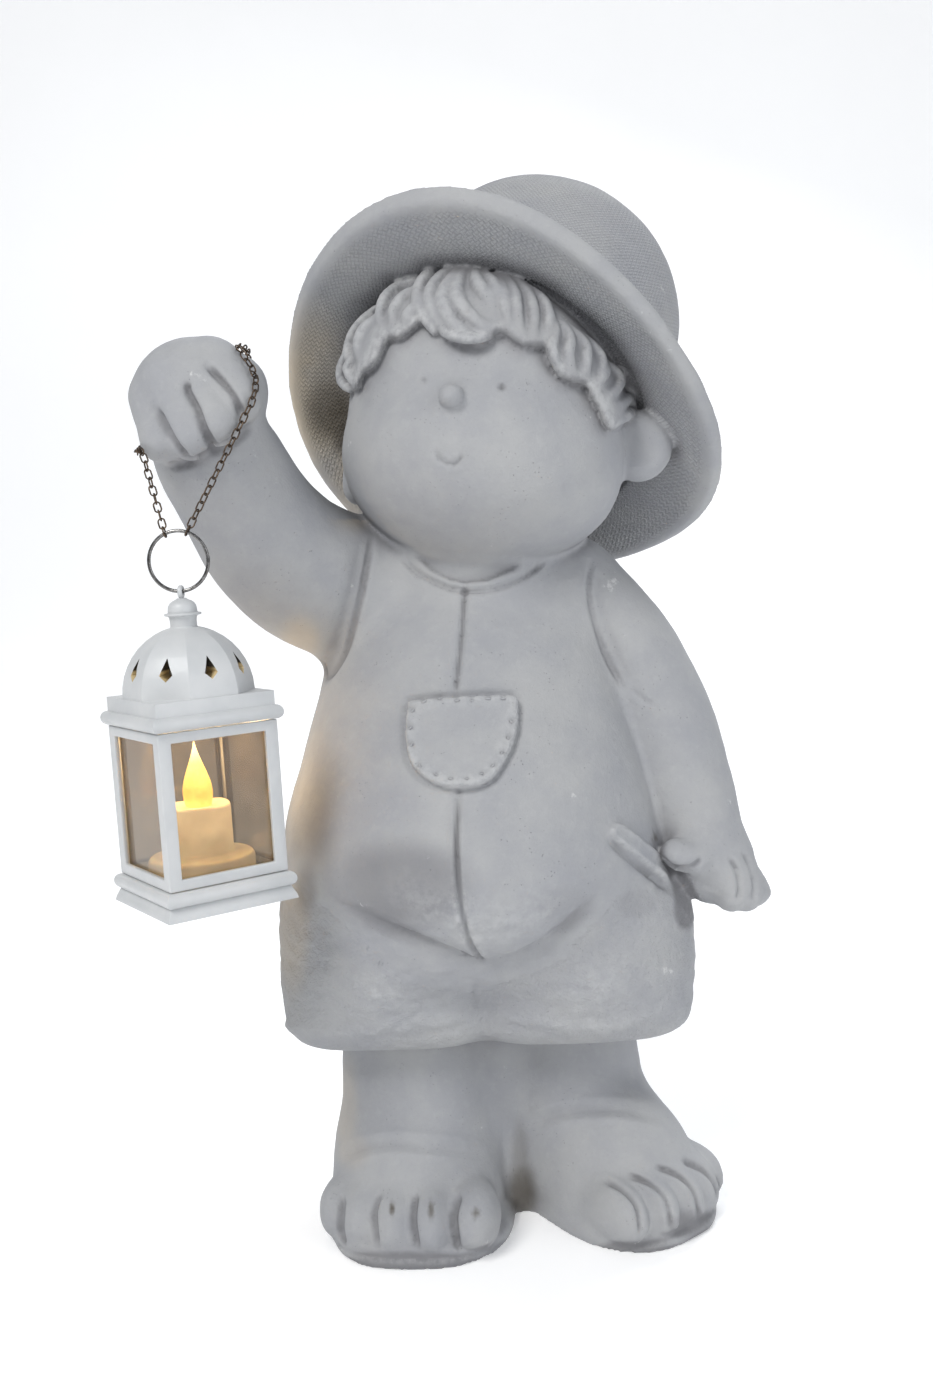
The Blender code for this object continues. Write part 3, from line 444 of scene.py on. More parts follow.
def hair_strands():
    """Ridges of hair standing off the head, each a row of points that end in a radius."""
    made = []
    for half, seen in HAIR:
        line = smooth_line(seen, 3)
        t = np.linspace(0, 1, len(line))
        ridge = settle(on_head(line), head, 3.6 + 2.6 * np.sin(math.pi * t) - 1.4 * t)
        made.append([np.column_stack([ridge, half * (0.74 + 0.40 * np.sin(math.pi * t)) * 0.45])])
    for width, (root, tip) in NAPE:
        t = np.linspace(0, 1, 6)
        root, tip = np.array(root, np.float32), np.array(tip, np.float32)
        side = np.cross(tip - root, (root + tip) / 2 - HEAD)
        side /= np.linalg.norm(side)
        bars = []
        for across in (-0.6, 0, 0.6):
            sway = across * width * (0.9 - 0.3 * t) + 2 * np.sin(3 * t)
            spots = root + (tip - root) * t[:, None] + side * sway[:, None]
            spots = settle(spots, head, 2 + 3 * np.sin(math.pi * t))
            bars.append(np.column_stack([spots, width / 3 * (1.25 - 0.4 * t)]))
        made.append(bars)
    return made


STRANDS = hair_strands()


def hair_mass(p):
    """The thickness of hair under the ridges, as far as its seen edge."""
    edge = outline_distance(in_photo(p), HAIR_EDGE_LINE) * PIXEL
    return -blend(-(head(p) - HAIR_DEPTH), -(edge + 0.6), 5)


HAIR_EDGE_LINE = smooth_line(HAIR_EDGE, 2)


def hair(p):
    made = within(p, (-48, -72, 362), (88, 8, 446), hair_mass, 8)
    for bars in STRANDS:
        spots = np.concatenate(bars)
        low, high = spots[:, :3].min(0) - 7, spots[:, :3].max(0) + 7

        def lock(q, bars=bars):
            d = None
            for bar in bars:
                strand = limb(q, bar)
                d = strand if d is None else blend(d, strand, 1.6)
            return d
        made = blend(made, within(p, low, high, lock, 8), 1.1)
    return made


def hat_frame(p):
    """Distance from the hat's axis, height from its rim and angle round it, the brim's waves taken out."""
    q = p - HAT_RIM
    h = q @ HAT_AXIS
    flat = q - h[:, None] * HAT_AXIS
    up = np.array((0, 0, 1), np.float32) - HAT_AXIS[2] * HAT_AXIS
    up /= np.linalg.norm(up)
    side = np.cross(up, HAT_AXIS)
    r, angle = length(flat), np.arctan2(flat @ side, flat @ up)
    share = np.clip((r - 68) / 32, 0, 1.2)
    r = r - share * 3.7 * np.cos(3 * angle)
    h = h - share * (3.9 * np.cos(2 * angle) + 0.9 * np.sin(2 * angle) - 1.7 * np.sin(3 * angle))
    return r, h, angle


HAT_CELL = 0.75
HAT_LOW = (-1.5, -30.0)


def hat_table():
    """The hat's turned profile as distances on a flat grid of radius and height."""
    outline = np.concatenate([smooth_line(HAT_OUTSIDE, 6), smooth_line(HAT_INSIDE, 6)])
    outline = np.concatenate([outline, -outline[::-1] * (1, -1)])
    r = np.arange(HAT_LOW[0], 136, HAT_CELL)
    h = np.arange(HAT_LOW[1], 166, HAT_CELL)
    grid = np.stack(np.meshgrid(r, h, indexing="ij"), -1).reshape(-1, 2)
    return outline_distance(grid, outline).reshape(len(r), len(h)).astype(np.float32)


HAT_TABLE = hat_table()


def hat(p):
    r, h, _ = hat_frame(p)
    x, y = (r - HAT_LOW[0]) / HAT_CELL, (h - HAT_LOW[1]) / HAT_CELL
    x, y = np.clip(x, 0, HAT_TABLE.shape[0] - 1.01), np.clip(y, 0, HAT_TABLE.shape[1] - 1.01)
    i, j = x.astype(int), y.astype(int)
    u, v = x - i, y - j
    near = HAT_TABLE[i, j] * (1 - v) + HAT_TABLE[i, j + 1] * v
    far = HAT_TABLE[i + 1, j] * (1 - v) + HAT_TABLE[i + 1, j + 1] * v
    return near * (1 - u) + far * u


def statue(p):
    """The whole figure, cut flat at the ground."""
    d = within(p, (-105, -95, 86), (105, 95, 330), clothes, 30)
    d = blend(d, within(p, (-80, -85, -6), (118, 60, 120), legs), 2.5)
    d = blend(d, within(p, (20, -60, 135), (140, 40, 315), lowered_arm), 5)
    d = blend(d, within(p, (-140, -100, 255), (0, 45, 415), raised_arm), 11)
    d = blend(d, limb(p, NECK), 8)
    face = within(p, (-50, -75, 295), (85, 60, 440), head, 24)
    face = blend(face, ellipsoid(p, HEAD + HEAD_TURN @ np.array(NOSE[0]), NOSE[1], HEAD_TURN), 2)
    face = blend(face, within(p, (-70, -25, 325), (110, 50, 375), ears), 3)
    face = blend(face, within(p, (-100, -95, 260), (140, 140, 500), hat), 4)
    face = blend(face, within(p, (-60, -75, 300), (95, 75, 450), hair), 1.5)
    return np.maximum(blend(d, face, 4), -p[:, 2]).astype(np.float32)


# Skin

def sample(field, low, high, step, block=8):
    """The field on a dense grid, worked out only in blocks near the surface."""
    low, high = np.asarray(low, float), np.asarray(high, float)
    count = np.ceil((high - low) / (step * block)).astype(int)
    size = step * block
    cells = np.stack(np.meshgrid(*[np.arange(n) for n in count], indexing="ij"), -1).reshape(-1, 3)
    middle = (low + (cells + 0.5) * size).astype(np.float32)
    coarse = field(middle)
    near = np.abs(coarse) < size * 0.87 * 1.3 + 2 * step
    grid = np.full(tuple(count * block + 1), 50, np.float32)
    grid[:-1, :-1, :-1] = np.repeat(np.repeat(np.repeat(coarse.reshape(count), block, 0), block, 1), block, 2)
    grid[-1], grid[:, -1], grid[:, :, -1] = 50, 50, 50
    steps = np.stack(np.meshgrid(*[np.arange(block + 1)] * 3, indexing="ij"), -1).reshape(-1, 3)
    starts = cells[near] * block
    for some in np.array_split(starts, max(1, len(starts) // 600)):
        spots = (some[:, None] + steps).reshape(-1, 3)
        grid[tuple(spots.T)] = field((low + spots * step).astype(np.float32))
    return grid


def surface_nets(grid, low, step):
    """Points and quads on the zero surface of a dense grid."""
    inside = grid < 0
    corners = [(i, j, k) for i in (0, 1) for j in (0, 1) for k in (0, 1)]
    nx, ny, nz = (n - 1 for n in grid.shape)
    total = sum(inside[i:nx + i, j:ny + j, k:nz + k].astype(np.int8) for i, j, k in corners)
    cells = np.argwhere((total > 0) & (total < 8))
    index = np.full(total.shape, -1, np.int32)
    index[tuple(cells.T)] = np.arange(len(cells))
    values = np.stack([grid[cells[:, 0] + i, cells[:, 1] + j, cells[:, 2] + k] for i, j, k in corners], 1)
    summed, count = np.zeros((len(cells), 3)), np.zeros(len(cells))
    for a in range(8):
        for b in range(a + 1, 8):
            start, end = np.array(corners[a]), np.array(corners[b])
            if np.abs(start - end).sum() != 1:
                continue
            va, vb = values[:, a], values[:, b]
            crossed = (va < 0) != (vb < 0)
            share = np.where(crossed, va / np.where(crossed, va - vb, 1), 0)
            summed[crossed] += (start + share[:, None] * (end - start))[crossed]
            count[crossed] += 1
    points = (cells + summed / count[:, None]) * step + low
    quads = []
    for axis in range(3):
        b, c = (axis + 1) % 3, (axis + 2) % 3
        first, second = [slice(None)] * 3, [slice(None)] * 3
        first[axis], second[axis] = slice(0, -1), slice(1, None)
        change = inside[tuple(first)].astype(np.int8) - inside[tuple(second)].astype(np.int8)
        for sign in (1, -1):
            edge = np.argwhere(change == sign)
            keep = (edge[:, b] > 0) & (edge[:, c] > 0) & (edge[:, b] < inside.shape[b] - 1)
            edge = edge[keep & (edge[:, c] < inside.shape[c] - 1)]
            ring = []
            for db, dc in ((1, 1), (0, 1), (0, 0), (1, 0)):
                cell = edge.copy()
                cell[:, b] -= db
                cell[:, c] -= dc
                ring.append(index[tuple(cell.T)])
            quads.append(np.stack(ring if sign == 1 else ring[::-1], 1))
    return points, np.concatenate(quads)


def slope_of(p, reach=0.8):
    return np.stack([statue(p + e) - statue(p - e) for e in np.eye(3, dtype=np.float32) * reach], 1)


def ramp(x, low, high):
    t = np.clip((x - low) / (high - low), 0, 1)
    return t * t * (3 - 2 * t)


def line_distance(p, line):
    """Distance from points to a line through given ones, in as many dimensions as they have."""
    near = np.full(len(p), 1e9)
    share_along = np.zeros(len(p))
    for i, (a, b) in enumerate(zip(line, line[1:])):
        to_p, to_b = p - a, b - a
        share = np.clip(to_p @ to_b / max(to_b @ to_b, 1e-9), 0, 1)
        d = length(to_p - share[:, None] * to_b)
        closer = d < near
        near[closer] = d[closer]
        share_along[closer] = (i + share[closer]) / (len(line) - 1)
    return near, share_along


def waves(p, seed, size):
    """Soft seeded lumps, about plus or minus 1, some size across."""
    rng = np.random.default_rng(seed)
    made = np.zeros(len(p))
    for k in range(7):
        way = rng.normal(size=3)
        way /= np.linalg.norm(way)
        tilt = rng.normal(size=3)
        tilt /= np.linalg.norm(tilt)
        step = 2 * math.pi / (size * rng.uniform(0.7, 1.6))
        made += np.sin(p @ way * step + rng.uniform(0, 6.3) + 1.3 * np.sin(p @ tilt * step * 0.7))
    return made / 3.2


# Relief cut into the skin

def bell(away, half):
    """1 in the middle, falling softly to nothing past the half width."""
    return np.exp(-(away / half) ** 2)


def patch(seen, middle, half):
    """A bell round one photograph pixel, with half sizes across and down."""
    return np.exp(-((seen[:, 0] - middle[0]) / half[0]) ** 2 - ((seen[:, 1] - middle[1]) / half[1]) ** 2)


def from_pixel(seen, spot):
    return np.hypot(*(seen - np.array(spot)).T)


NECKLINE = [(409, 540), (415, 555), (430, 570), (450, 580), (466, 583), (490, 580), (513, 570), (528, 556), (534, 545)]
RIGHT_EYE, LEFT_EYE = (424, 380), (502, 387)
MOUTH = [(436, 452), (439, 459), (447, 464), (455, 464), (460, 459), (462, 454)]
# Blots of colour: seen middle, half sizes in pixels, strength
# Stains with one painted shadow: brown dirt in the toe holes and between the heels, a dark brown patch under the hat's
# left brim, and the lantern's cast shadow painted on the torso's left side.
STAINS_AND_SHADOWS = [((392, 1209), (4, 9), 1.0), ((431, 1210), (4, 12), 1.0), ((476, 1213), (5, 7), 0.9),
          ((522, 1192), (20, 40), 0.8), ((520, 1150), (12, 40), 0.35), ((330, 410), (32, 44), 1.0),
          ((346, 434), (22, 34), 1.0), ((655, 838), (5, 5), 0.7), ((306, 890), (15, 34), 0.45)]
# Painted warm light from the lantern, on the statue's left: brim, cheek, torso edge and leg.
PAINTED_WARM_LIGHT = [((312, 400), (60, 112), 1.0), ((350, 470), (36, 44), 0.8), ((292, 930), (22, 80), 0.5),
        ((346, 1110), (16, 70), 0.35), ((350, 500), (30, 40), 0.6), ((300, 640), (26, 34), 0.5),
        ((352, 1150), (22, 26), 0.3)]
# Painted shade: under the belly, between the legs and feet, under the feet, under the hat's left brim and in the hand's
# shadow on the shorts.
PAINTED_SHADE_BLOTS = [((400, 885), (115, 75), 0.72), ((560, 905), (60, 40), 0.40), ((345, 985), (60, 50), 0.30),
        ((640, 905), (40, 30), 0.35), ((500, 1060), (60, 40), 0.22), ((498, 1240), (30, 30), 0.3),
        ((410, 1266), (120, 17), 0.85), ((640, 1252), (70, 17), 0.7), ((695, 1226), (42, 22), 0.55),
        ((340, 420), (26, 38), 0.85), ((684, 905), (15, 38), 1.0), ((470, 1000), (20, 26), 0.15)]
THIGHS = [((385, 985), (52, 38), 3.2), ((585, 982), (56, 40), 3.2)]
HEM_SEEN = [(300, 1034), (345, 1041), (486, 1022), (600, 1036), (690, 1010)]
THROAT = ((464, 568), (44, 15))
FOLD_DEPTH, BELLY_RISE, NECK_DEPTH, POCKET_RISE, WELT_RISE = 4.6, 4.2, 2.6, 3.0, 2.3
HEAD_REACH = 88


def region(name, p):
    """Where each group of carved lines may reach."""
    if name == "body":
        clear = head(p.astype(np.float32)) > 0.4
        return (p[:, 2] > 92) & (p[:, 2] < 325) & (p[:, 0] > -90) & (p[:, 0] < 92) & clear
    if name == "side":
        return (p[:, 2] > 160) & (p[:, 2] < 325) & (p[:, 0] > 20)
    if name == "fist":
        return (p[:, 0] < -66) & (p[:, 2] > 335)
    if name == "hand":
        return (p[:, 0] > 80) & (p[:, 2] < 195) & (p[:, 2] > 135)
    if name == "foot":
        return p[:, 2] < 75
    return length(p - HEAD) < HEAD_REACH


def inked(seen, mask, line, half, depth, lip):
    """A groove along a seen line, with a raised lip beside it."""
    line = np.array(line, float)
    reach = half * 4
    low, high = line.min(0) - reach, line.max(0) + reach
    near = np.nonzero(mask & (seen >= low).all(1) & (seen <= high).all(1))[0]
    cut = np.zeros(len(seen))
    if len(near):
        away, share = line_distance(seen[near], smooth_line(line, 5))
        ends = 0.35 + 0.65 * np.clip(np.minimum(share, 1 - share) * 8, 0, 1)
        cut[near] = ends * (lip * bell(away - half * 1.9, half * 0.8) - depth * bell(away, half))
    return cut


def carved(points, normals):
    """Every point moved along its normal by the relief of cloth, seams, face, toes and hands."""
    p, n = points, normals
    seen = in_photo(p)
    to_eye = np.array(CAMERA_SPOT) / UNIT - p
    faces_eye = np.einsum("ij,ij->i", n, to_eye) > 0.12 * length(to_eye)
    lift = np.zeros(len(p))
    places = {name: region(name, p) & faces_eye for name in ("body", "side", "fist", "hand", "foot", "face")}
    for line, half, depth, lip, name in STROKES:
        lift += inked(seen, places[name], line, half, depth, lip)

    body = places["body"]
    fold = np.interp(seen[:, 0], *zip(*BELLY_FOLD))
    below = seen[:, 1] - fold
    share = ramp(seen[:, 0], 318, 430) * (1 - ramp(seen[:, 0], 530, 625)) * body
    soft = 7 + 16 * (1 - share)
    up, down = np.minimum(below, 0), np.maximum(below, 0)
    belly = BELLY_RISE * (1 - np.exp(up / 20)) * bell(up, 85)
    above_fold, under_fold = belly - FOLD_DEPTH * np.exp(up / soft), -FOLD_DEPTH * np.exp(-down / (soft + 9))
    lift += share * np.where(below < 0, above_fold, under_fold)
    for middle, half, height in THIGHS:
        lift += body * ramp(below, 0, 20) * height * patch(seen, middle, half)
    lift -= body * ramp(below, 4, 30) * 0.7 * bell(seen[:, 0] - 488, 22)
    hem = np.interp(seen[:, 0], *zip(*HEM_SEEN))
    lift += body * 1.5 * bell(seen[:, 1] - hem + 8, 9)

    neck = outline_distance(seen[body], np.array(NECKLINE + [(534, 500), (409, 500)], float))
    lift[body] -= NECK_DEPTH * ramp(-neck, -1.6, 2.0) - 0.5 * bell(neck - 3, 2.6)
    inside = outline_distance(seen[body], smooth_line(POCKET + POCKET[:1], 4)) + 1.8
    lift[body] += POCKET_RISE * ramp(-inside, -1.8, 1.8) - 1.4 * bell(inside - 3.0, 3.0) + 0.7 * bell(inside + 3.5, 2.6)
    lift[body] -= 0.8 * ramp(-inside, 9, 16)
    for spot in STITCHES:
        lift[body] += -1.5 * bell(from_pixel(seen[body], spot), 3.0)
    away = line_distance(seen[body], np.array(WELT_SEEN, float))[0]
    welt = WELT_RISE * (1 - ramp(away, 7.0, 9.2)) + 0.5 * bell(away - 5.5, 1.6)
    lift[body] += welt * (1 - ramp(p[body, 0], 84, 90))
    lift[body] *= ramp(head(p[body].astype(np.float32)), 0.4, 4.5)

    face = places["face"]
    for spot, depth, size in ((RIGHT_EYE, 0.5, 2.6), (LEFT_EYE, 1.2, 3.2)):
        away = from_pixel(seen[face], spot)
        lift[face] += -depth * bell(away, size) + 0.25 * bell((away - size * 1.9) / size * 1.3, 1)
    lift += inked(seen, face, MOUTH, 2.3, 1.5, 0.2)

    lift += 0.20 * waves(p, 5, 30) + 0.06 * waves(p, 6, 9)
    rough = (p[:, 2] > 94) & (p[:, 2] < 178)
    lift[rough] += 0.30 * waves(p[rough], 7, 7.5) * (1 - ramp(p[rough, 2], 155, 178))
    return p + n * lift[:, None]


def marks(points, normals):
    """Masks for the stone (painted shade, worn edges, hat, rough cloth, painted eye shade, stains and a painted shadow,
    painted warm light) and the weave's own places.
    """
    p, n = points.astype(np.float32), normals.astype(np.float32)
    depth, seen = statue(p), in_photo(p)
    off_seam = (np.abs(p[:, 0] - 2) > 5) | (seen[:, 1] > 958)
    # Painted shade: darker in carved grooves and where the field closes in along the normal, in hollows, creases and
    # undersides, less on the shorts away from their seam.
    painted_crevice_shade = 0.70 * np.clip(-depth / 2.4, 0, 1) * (1 - 0.65 * (p[:, 2] > 92) * (p[:, 2] < 165) * off_seam)
    for reach, weight in ((3.0, 0.35), (7.0, 0.35), (16.0, 0.30)):
        painted_crevice_shade += weight * np.clip(1 - (statue(p + n * reach) - np.minimum(depth, 0)) / reach, 0, 1)
    # Less painted shade on the throat.
    painted_crevice_shade *= 1 - 0.75 * patch(seen, *THROAT) * (p[:, 1] < 0)
    to_hair, to_head, to_hat = hair(p), head(p), np.abs(hat(p))
    high = p[:, 2] > 300
    # Painted shade over the hair, darkening it.
    painted_crevice_shade += 0.26 * (to_hair < 1.5) * high
    edge = np.clip(0.45 - (-statue(p - n * 5.0)) / 5.0 * 0.45, 0, 1) * 2
    r, h, angle = hat_frame(p)
    rest = np.minimum(within(p, (-105, -95, 86), (105, 95, 330), clothes, 30), to_head)
    on_hat = (to_hat < 2.2) & (rest > 1.0) & high & (to_hair > 1.5)
    on_hat &= np.abs(angle) < math.pi - 2.2 / np.maximum(r, 8)
    near_hat = (to_hat < 7) & (to_head > 1.0) & high & (to_hair > 1.0)
    rim = 1 - ramp(r, 96, 99.5) * (h < 14)
    shorts = np.minimum.reduce([ellipsoid(p, *form, power=3) for form in SHORTS + HEMS])
    on_shorts = (1 - ramp(p[:, 2], 150, 176)) * (shorts < 6.0) * (p[:, 2] > 90)
    to_eye = np.array(CAMERA_SPOT, np.float32) / UNIT - p
    faces_eye = np.einsum("ij,ij->i", n, to_eye) > 0.05 * length(to_eye)
    # Painted shade in the eye pits.
    eyes = np.zeros(len(p))
    face = region("face", p) & faces_eye
    for spot, depth, size in ((RIGHT_EYE, 0.35, 2.6), (LEFT_EYE, 0.85, 3.0)):
        eyes = np.maximum(eyes, face * depth * bell(from_pixel(seen, spot), size))
    # Stains with a painted shadow, painted warm light and painted shade from the tables, on faces turned to the camera,
    # and up high only near the hat.
    blots = []
    for spots in (STAINS_AND_SHADOWS, PAINTED_WARM_LIGHT, PAINTED_SHADE_BLOTS):
        blot = np.zeros(len(p))
        for (x, y), (wide, tall), depth in spots:
            away = np.hypot((seen[:, 0] - x) / wide, (seen[:, 1] - y) / tall)
            blot = np.maximum(blot, depth * (1 - ramp(away, 0.30, 1.05)))
        blots.append(blot * faces_eye * np.where(seen[:, 1] < 520, near_hat, 1))
    # Painted shade round each pocket stitch.
    shade = np.zeros(len(p))
    for spot in STITCHES:
        shade = np.maximum(shade, patch(seen, spot, (3.4, 2.2)))
    shade *= faces_eye & (p[:, 1] < -40) & (np.abs(p[:, 0]) < 60)
    stain, warm, painted_shade_blots = blots
    # All the painted shade in one mask, stitches included.
    hollow = np.maximum(np.minimum(painted_crevice_shade + painted_shade_blots, 1), 0.9 * shade)
    weave = np.stack([angle * 92, h - r, np.zeros(len(p))], 1)
    return {"hollow": hollow, "edge": edge, "hat": on_hat * rim, "shorts": on_shorts, "eyes": eyes, "stain": stain,
            "warm": warm}, weave


def mesh_from(name, points, faces):
    mesh = bpy.data.meshes.new(name)
    mesh.vertices.add(len(points))
    mesh.vertices.foreach_set("co", np.asarray(points, np.float32).ravel())
    sides = faces.shape[1]
    mesh.loops.add(len(faces) * sides)
    mesh.loops.foreach_set("vertex_index", faces.astype(np.int32).ravel())
    mesh.polygons.add(len(faces))
    mesh.polygons.foreach_set("loop_start", np.arange(0, len(faces) * sides, sides, dtype=np.int32))
    mesh.update(calc_edges=True)
    mesh.validate()
    return mesh


def add_piece(name, mesh, surface):
    obj = bpy.data.objects.new(name, mesh)
    bpy.context.scene.collection.objects.link(obj)
    if surface:
        mesh.materials.clear()
        mesh.materials.append(surface)
    return obj


def settled(obj):
    """The object's own mesh with its modifiers worked in."""
    graph = bpy.context.evaluated_depsgraph_get()
    mesh = bpy.data.meshes.new_from_object(obj.evaluated_get(graph), preserve_all_data_layers=True, depsgraph=graph)
    obj.modifiers.clear()
    old, obj.data = obj.data, mesh
    name = old.name
    bpy.data.meshes.remove(old)
    mesh.name = name
    return mesh


def build_statue(surface):
    low = np.array(FIGURE_LOW) / UNIT - 5
    high = np.array(FIGURE_HIGH) / UNIT + 5
    low[2] = -3
    grid = sample(statue, low, high, SKIN_STEP)
    points, quads = surface_nets(grid, low, SKIN_STEP)
    del grid
    normals = np.concatenate([slope_of(part.astype(np.float32)) for part in np.array_split(points, 8)])
    normals /= np.maximum(length(normals), 1e-6)[:, None]
    points = carved(points, normals)
    points[:, 2] = np.where(points[:, 2] < 0.5, 0, points[:, 2])
    obj = add_piece("figure_skin", mesh_from("figure_skin", points * UNIT, quads), surface)
    thin = obj.modifiers.new("thin", "DECIMATE")
    thin.ratio = min(1, SKIN_TRIANGLES / (2 * len(quads)))
    mesh = settled(obj)
    count = len(mesh.vertices)
    spots, ways = np.empty(count * 3, np.float32), np.empty(count * 3, np.float32)
    mesh.vertices.foreach_get("co", spots)
    mesh.vertices.foreach_get("normal", ways)
    found, weave = marks(spots.reshape(-1, 3) / UNIT, ways.reshape(-1, 3))
    for name, values in found.items():
        mesh.attributes.new(name, "FLOAT", "POINT").data.foreach_set("value", np.asarray(values, np.float32))
    mesh.attributes.new("weave", "FLOAT_VECTOR", "POINT").data.foreach_set("vector", weave.astype(np.float32).ravel())
    mesh.shade_smooth()
    return obj


# Lantern pieces

def stack(bm, rings, sides, place=None):
    """A solid through level outlines, each a regular polygon given as half width over its flats, and height."""
    place = place or Matrix.Identity(4)
    layers = []
    for half, z in rings:
        if half == 0:
            layers.append([bm.verts.new(place @ Vector((0, 0, z)))])
            continue
        reach = half / math.cos(math.pi / sides)
        turns = [math.pi * (2 * i + 1) / sides for i in range(sides)]
        layers.append([bm.verts.new(place @ Vector((reach * math.cos(a), reach * math.sin(a), z))) for a in turns])
    for below, above in zip(layers, layers[1:]):
        for i in range(sides):
            j = (i + 1) % sides
            if len(below) == 1:
                bm.faces.new((below[0], above[j], above[i]))
            elif len(above) == 1:
                bm.faces.new((below[i], below[j], above[0]))
            else:
                bm.faces.new((below[i], below[j], above[j], above[i]))
    for layer in (layers[0], layers[-1]):
        if len(layer) > 1:
            bm.faces.new(layer)


def roll(half, low, high, proud, count=11):
    """A half-round moulding as level outlines."""
    middle, tall = (low + high) / 2, (high - low) / 2
    turns = [math.radians(-90 + 180 * i / (count - 1)) for i in range(count)]
    return [(half + proud * math.cos(a), middle + tall * math.sin(a)) for a in turns]


def box(bm, low, high):
    size = [b - a for a, b in zip(low, high)]
    middle = [(a + b) / 2 for a, b in zip(low, high)]
    bmesh.ops.create_cube(bm, size=1, matrix=Matrix.Translation(middle) @ Matrix.Diagonal((*size, 1)))


def mesh_of(name, bm):
    bmesh.ops.recalc_face_normals(bm, faces=bm.faces)
    mesh = bpy.data.meshes.new(name)
    bm.to_mesh(mesh)
    bm.free()
    return mesh


def tool(name, bm):
    """A hidden helper piece: a cutter, or a shape to copy."""
    obj = add_piece(name, mesh_of(name, bm), None)
    obj.hide_render = True
    return obj


def discard(obj):
    mesh = obj.data
    bpy.data.objects.remove(obj)
    bpy.data.meshes.remove(mesh)


def tube(bm, rings):
    """Faces that join rings of points into a closed loop."""
    for a, b in zip(rings, rings[1:] + rings[:1]):
        for k in range(len(a)):
            bm.faces.new((a[k], a[k - 1], b[k - 1], b[k]))


def combine(obj, other, operation):
    step = obj.modifiers.new(other.name, "BOOLEAN")
    step.object, step.operation, step.solver = other, operation, "EXACT"
    settled(obj)
    discard(other)


def soften(obj, width, segments=2, angle=32):
    step = obj.modifiers.new("soften", "BEVEL")
    step.width, step.segments, step.limit_method = width, segments, "ANGLE"
    step.angle_limit = math.radians(angle)
    step.harden_normals = False
    settled(obj)


def round_off(obj, angle=40):
    """Smooth shading, with edges sharper than the angle kept crisp."""
    obj.data.shade_smooth()
    obj.data.set_sharp_from_angle(angle=math.radians(angle))


def place_lantern(obj, z=0.0):
    place = Matrix.Translation(LANTERN_FOOT + Vector((0, 0, z))) @ Matrix.Rotation(LANTERN_TURN, 4, "Z")
    obj.data.transform(place)
    obj.data.update()


BODY_LOW = FRAME_LOW.z - LANTERN_FOOT.z
BODY_TOP = FRAME_HIGH.z - LANTERN_FOOT.z
BASE_HEIGHT = BASE_HIGH.z - BASE_LOW.z
ROOF_START = ROOF_LOW.z - LANTERN_FOOT.z
DOME_LOW = BODY_TOP + CORNICE_HEIGHT
HALF = LANTERN_BODY / 2
DOME_HALF = 0.955 * HALF
EYE_MIDDLE = DOME_LOW + DOME_HEIGHT + 0.0137


def build_base(surface):
    """The flared plinth and half-round moulding, hollow underneath."""
    b, wall = HALF, FRAME_WALL
    bm = bmesh.new()
    plinth = 0.47 * BASE_HEIGHT
    stack(bm, [(1.10 * b, 0), (1.085 * b, 0.15 * BASE_HEIGHT), (1.06 * b, 0.27 * BASE_HEIGHT), (1.02 * b, plinth)]
          + roll(1.005 * b, plinth, BASE_HEIGHT, 0.095 * b), 4)
    obj = add_piece("base_moulding", mesh_of("base_moulding", bm), surface)
    bm = bmesh.new()
    stack(bm, [(1.10 * b - wall, -0.001), (1.0 * b - wall, BASE_HEIGHT - wall)], 4)
    combine(obj, tool("base_hollow", bm), "DIFFERENCE")
    soften(obj, 0.00045)
    round_off(obj)
    place_lantern(obj)
    return obj


def build_frame(surface):
    """Four posts with their rails, cut from one box."""
    b, inner, half, tall = HALF, HALF - FRAME_WALL, HALF - POST_WIDTH, BODY_TOP - BODY_LOW
    bm = bmesh.new()
    box(bm, (-b, -b, 0), (b, b, tall))
    obj = add_piece("window_frame", mesh_of("window_frame", bm), surface)
    bm = bmesh.new()
    box(bm, (-inner, -inner, -0.002), (inner, inner, tall + 0.002))
    combine(obj, tool("inside", bm), "DIFFERENCE")
    for low, high, label in (((-half, -2 * b), (half, 2 * b), "front_window"),
                             ((-2 * b, -half), (2 * b, half), "side_window")):
        bm = bmesh.new()
        box(bm, (*low, BOTTOM_RAIL), (*high, tall - TOP_RAIL))
        combine(obj, tool(label, bm), "DIFFERENCE")
    soften(obj, 0.0005, 3)
    round_off(obj)
    place_lantern(obj, BODY_LOW)
    return obj


